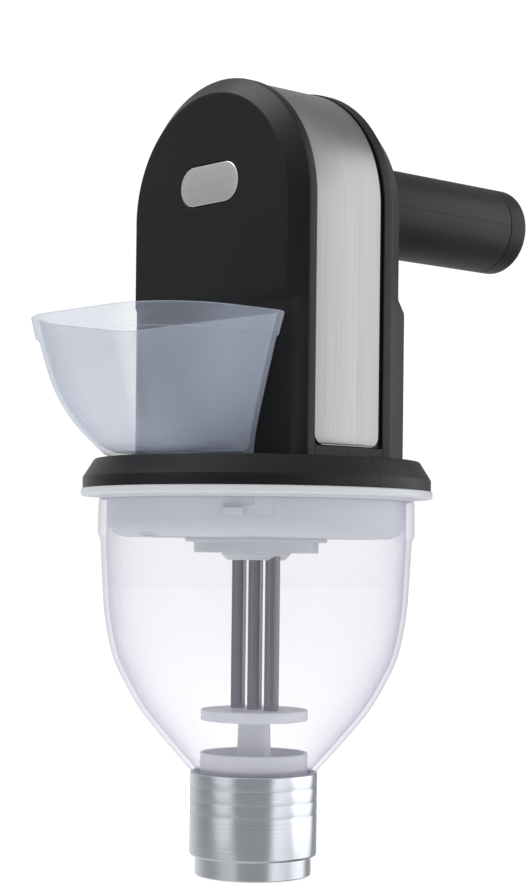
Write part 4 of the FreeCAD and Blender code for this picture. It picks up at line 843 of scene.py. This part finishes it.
finish = new_finish("turned_aluminium")
lines = finish.noise(finish.place((6, 6, 3200)), 1.0, 3.0, 0.6)
broad = finish.noise(finish.place((3, 3, 420)), 1.0, 2.0)
cloud = finish.noise(finish.place(), 30.0, 2.0)
tool_marks = finish.vary(lines * 0.7 + broad * 0.3, 0, 1)
aluminium = finish.surface(
    Base_Color=finish.blend(tool_marks, grey(0.72, -0.045), grey(0.84, -0.045)), Metallic=1.0,
    Roughness=finish.spread(tool_marks, 0, 1, 0.2, 0.14) + cloud * 0.06,
    Normal=finish.bump(lines, 0.2, 0.00006))
settle(barrel, "bowl_unit", "turned_aluminium", aluminium, "outlet_barrel")

# ---------------------------------------- plunger
# Three polished steel rods carry a white disc; below it a tapered stem holds the open cup that
# closes the outlet, with a seal ring round it.

rod_r = 3.5
stem_foot_r, stem_top_r = 8.4, 7.5
cup_floor, cup_skin = 2.4, 1.8
seal_low, seal_high, seal_depth = 4, 5.8, 0.9


def turned_size(node):
    """Radius, foot and top of a CAD node that stands on the axis."""
    low, high = box_mm(node)
    return high[0], low[2], high[2]


r, foot, top = turned_size("plunger_rods")
rods = piece("plunger_rod_bars",
             *[bar(rod_r, foot, top, centre=(x, 0), steps=56, edge=0.4) for x in rod_places])
finish = new_finish("polished_rod")
drawn = finish.noise(finish.place((2200, 2200, 12)), 1.0, 3.0)
wear = finish.noise(finish.place((60, 60, 240)), 1.0, 2.0)
polished = finish.surface(
    Base_Color=finish.blend(drawn, grey(0.10, 0.05), grey(0.18, 0.05)), Metallic=1.0,
    Roughness=finish.vary(drawn, 0.12, 0.17) + wear * 0.08,
    Normal=finish.bump(drawn, 0.08, 0.00004))
settle(rods, "plunger", "rod_steel", polished, "plunger_rods")
plunger_white = satin_white("plunger_white", 0.68, 0.3, -0.02)


def white_turning(name, node, corners, radii, arc=5, steps=144):
    """White piece of the plunger, turned from its section's corners and their radii."""
    made = piece(name, turned(rounded(corners, radii, arc), steps, closed=False))
    settle(made, "plunger", "white_plastic", plunger_white, node)


r, foot, top = turned_size("plunger_disc")
white_turning("plunger_disc_plate", "plunger_disc",
              [(0, foot), (r, foot), (r, top), (0, top)], [0, 0.7, 0.7, 0])
r, foot, top = turned_size("plunger_stem")
white_turning("plunger_stem_cone", "plunger_stem",
              [(0, foot), (stem_foot_r, foot), (stem_foot_r, foot + 0.6), (stem_top_r, top - 0.6),
               (stem_top_r, top), (0, top)], [0, 0.3, 0, 0, 0.2, 0], 4, 96)
r, foot, top = turned_size("plunger_cup")
white_turning("plunger_cup_shell", "plunger_cup",
              [(0, foot), (r, foot), (r, foot + seal_low), (r - seal_depth, foot + seal_low),
               (r - seal_depth, foot + seal_high), (r, foot + seal_high), (r, top),
               (r - cup_skin, top), (r - cup_skin, foot + cup_floor), (0, foot + cup_floor)],
              [0, 1.6, 0.1, 0, 0, 0.1, 0.6, 0.6, 1.2, 0])

# ---------------------------------------- inner parts
# Screws, seals, gears, motor, cells and boards keep their designed shapes.  Each gets the finish
# of its stock: zinc-plated steel, sintered bronze, silicone, acetal, laminate and shrink sleeve.


def plated(name, tone, tint=(1, 1, 1), metallic=1.0, rough=0.34):
    """Plated or sintered metal: fine mottling in colour and gloss, over faint tool marks."""
    finish = new_finish(name)
    where = finish.place()
    mottle = finish.noise(where, 320.0, 3.0, 0.6)
    marks_in = finish.noise(finish.place((30, 900, 30)), 1.0, 2.0)
    dark, light = [tuple(tone * k * t for t in tint) + (1,) for k in (0.85, 1.12)]
    return finish.surface(Base_Color=finish.blend(mottle, dark, light), Metallic=metallic,
                          Roughness=finish.vary(mottle, rough - 0.06, rough + 0.08),
                          Normal=finish.bump(marks_in, 0.12, 0.00005))


def moulded(name, deep, light, rough=0.45, scale=40.0):
    """Small moulded or sleeved part: two close tones in slow clouds, fine grain and uneven gloss."""
    finish = new_finish(name)
    where = finish.place()
    cloud = finish.noise(where, scale, 3.0)
    grain = finish.noise(where, 1800.0, 2.0)
    return finish.surface(Base_Color=finish.blend(cloud, deep, light),
                          Roughness=finish.vary(cloud, rough - 0.06, rough + 0.06),
                          Normal=finish.bump(grain, 0.12, 0.00005))


def laminate(name):
    """Circuit laminate: green lacquer over a fine lattice of copper tracks."""
    finish = new_finish(name)
    where = finish.place((420, 420, 420), turned=(0.3, 0.2, 0.785))
    tracks = finish.node("ShaderNodeTexBrick", {"offset": 0.5},
                         {"Vector": where, "Scale": 1.0, "Mortar Size": 0.09, "Brick Width": 1.4,
                          "Row Height": 0.5}, take=1)
    return finish.surface(Base_Color=finish.blend(tracks, (0.012, 0.11, 0.05, 1), (0.05, 0.24, 0.10, 1)),
                          Roughness=finish.spread(tracks, 0, 1, 0.3, 0.42),
                          Normal=finish.bump(tracks, 0.3, 0.00005))


silicone = moulded("silicone", (0.55, 0.55, 0.6, 1), (0.66, 0.66, 0.7, 1), 0.5)
stock = {
    "zinc_steel": plated("zinc_steel", 0.55, (0.98, 1.0, 1.05)),
    "rod_steel": polished,
    "bronze": plated("bronze", 0.5, (1.0, 0.66, 0.36), rough=0.42),
    "silicone": silicone,
    "gear_plastic": moulded("gear_plastic", (0.6, 0.58, 0.5, 1), (0.7, 0.68, 0.6, 1), 0.4),
    "circuit_board": laminate("circuit_board"),
    "cell_wrap": moulded("cell_wrap", (0.015, 0.06, 0.25, 1), (0.025, 0.09, 0.34, 1), 0.28, 12.0),
    "dark_parts": moulded("dark_parts", (0.016, 0.016, 0.018, 1), (0.028, 0.028, 0.031, 1), 0.42),
}
slot_of = {part["node"]: part["material_slot"] for part in frame["record"]["subparts"]}
for name, made in frame["nodes"].items():
    if slot_of[name] in stock:
        made.data.materials.clear()
        made.data.materials.append(stock[slot_of[name]])

# ---------------------------------------- button boot
# A silicone cone between the button's lip and the board.  It seals the switch, and pushes the button back
# out.

boot_front, boot_back = box_mm("button_boot")[0][1], box_mm("button_boot")[1][1]
boot_tip, boot_root, boot_foot = 4.6, 6.4, 8.2  # inner radii at both ends, and radius of the foot
boot_skin = 0.8
foot_front = boot_back - 1.0
boot_profile = [(boot_tip, boot_front), (boot_tip + boot_skin, boot_front),
                (boot_root + boot_skin, foot_front), (boot_foot, foot_front), (boot_foot, boot_back),
                (boot_root, boot_back), (boot_root, foot_front)]
boot = piece("button_boot_cone", turned(boot_profile, 64, "y", button_at), crease=35)
settle(boot, "housing", "silicone", silicone, "button_boot")
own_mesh(boot)

# ---------------------------------------- studio
# A plain white floor under surroundings made of soft-edged panels: brightest behind and to the
# right, for the strap's and barrel's long pale reflections, and darker on the camera's side.
# The floor lights the object but stays out of its reflections.

floor_half = 6000.0
floor_z = -0.3  # just under the nozzle, in millimetres
floor_line = np.array([-floor_half, -900, -300, 0, 300, 900, floor_half])
floor_x, floor_y = np.meshgrid(floor_line, floor_line)
floor_grid = np.stack([floor_x, floor_y, np.full(floor_x.shape, floor_z)], -1)
floor = piece("floor", (floor_grid, False, False), near=(0, 0, -50))
finish = new_finish("floor_paper")
fibre = finish.noise(finish.place(), 300.0, 2.0)
floor.data.materials.append(finish.surface(
    Base_Color=finish.blend(fibre, grey(0.80), grey(0.82)),
    Roughness=finish.vary(fibre, 0.7, 0.8),
    Emission_Color=(1, 1, 1, 1), Emission_Strength=0.6, Specular_IOR_Level=0.1))
floor.visible_glossy = False

studio = Finish(bpy.data.worlds.new("studio"))
bpy.context.scene.world = studio.owner
way = studio.node("ShaderNodeTexCoord", take=0)


def facing(direction):
    """How far a direction of the surroundings faces the given one: their dot product, from 0 to 1."""
    unit = tuple(Vector(direction).normalized())
    dot = studio.node("ShaderNodeVectorMath", {"operation": "DOT_PRODUCT"}, {0: way, 1: unit}, take=1)
    return studio.spread(dot, 0.0, 1.0, 0.0, 1.0)


def panel(direction, outer, inner, strength):
    """A panel in the surroundings with a soft edge, from the cosines of its edge's two angles."""
    return studio.spread(facing(direction), outer, inner, 0.0, strength)


even_light = 0.68
glow = even_light + panel((0.45, 0.88, 0.15), 0.82, 0.91, 1.2)  # large bright panel, behind and right
glow = glow + panel((-0.17, -0.98, 0.1), 0.92, 0.97, 0.3)  # small panel before the front
glow = glow + facing((-1.0, 0.1, 0.1)) * 0.15  # a little more from the left
glow = glow - panel((-0.4, 0.7, 0.5), 0.6, 0.9, 0.4)  # dark cloth, high behind the left
glow = glow - facing((0.45, 0.88, -0.6)) ** 3 * 0.6  # darker low down, behind
glow = glow + panel((0.94, 0.34, -0.1), 0.85, 0.93, 0.5)  # bright panel on the right
glow = glow - panel((0.747, -0.665, 0.0), 0.76, 0.86, 0.34)  # dark cloth round the camera
glow = glow - facing((-0.75, -0.66, 0.0)) ** 4 * 0.45  # darker before the left
seen = studio.node("ShaderNodeLightPath", take=0)
light = studio.node("ShaderNodeBackground", None, {"Color": (0.97, 0.97, 1.0, 1), "Strength": glow})
backdrop = studio.node("ShaderNodeBackground", None, {"Color": (1, 1, 1, 1), "Strength": 1.06})
both = studio.node("ShaderNodeMixShader", None, {0: seen, 1: light, 2: backdrop})
studio.node("ShaderNodeOutputWorld", None, {0: both})

lamp = bpy.data.lights.new("overhead", "AREA")
lamp.shape = "DISK"
lamp.size = 1.5
lamp.energy = 14
lamp_at = Vector((-0.5, -0.6, 1.9))
lamp_toward = Vector((0, 0, 0.1))
lamp_turn = (lamp_toward - lamp_at).to_track_quat("-Z", "Y").to_matrix().to_4x4()
overhead = bpy.data.objects.new("overhead", lamp)
overhead.matrix_world = Matrix.Translation(lamp_at) @ lamp_turn
bpy.context.scene.collection.objects.link(overhead)

bpy.context.view_layer.update()
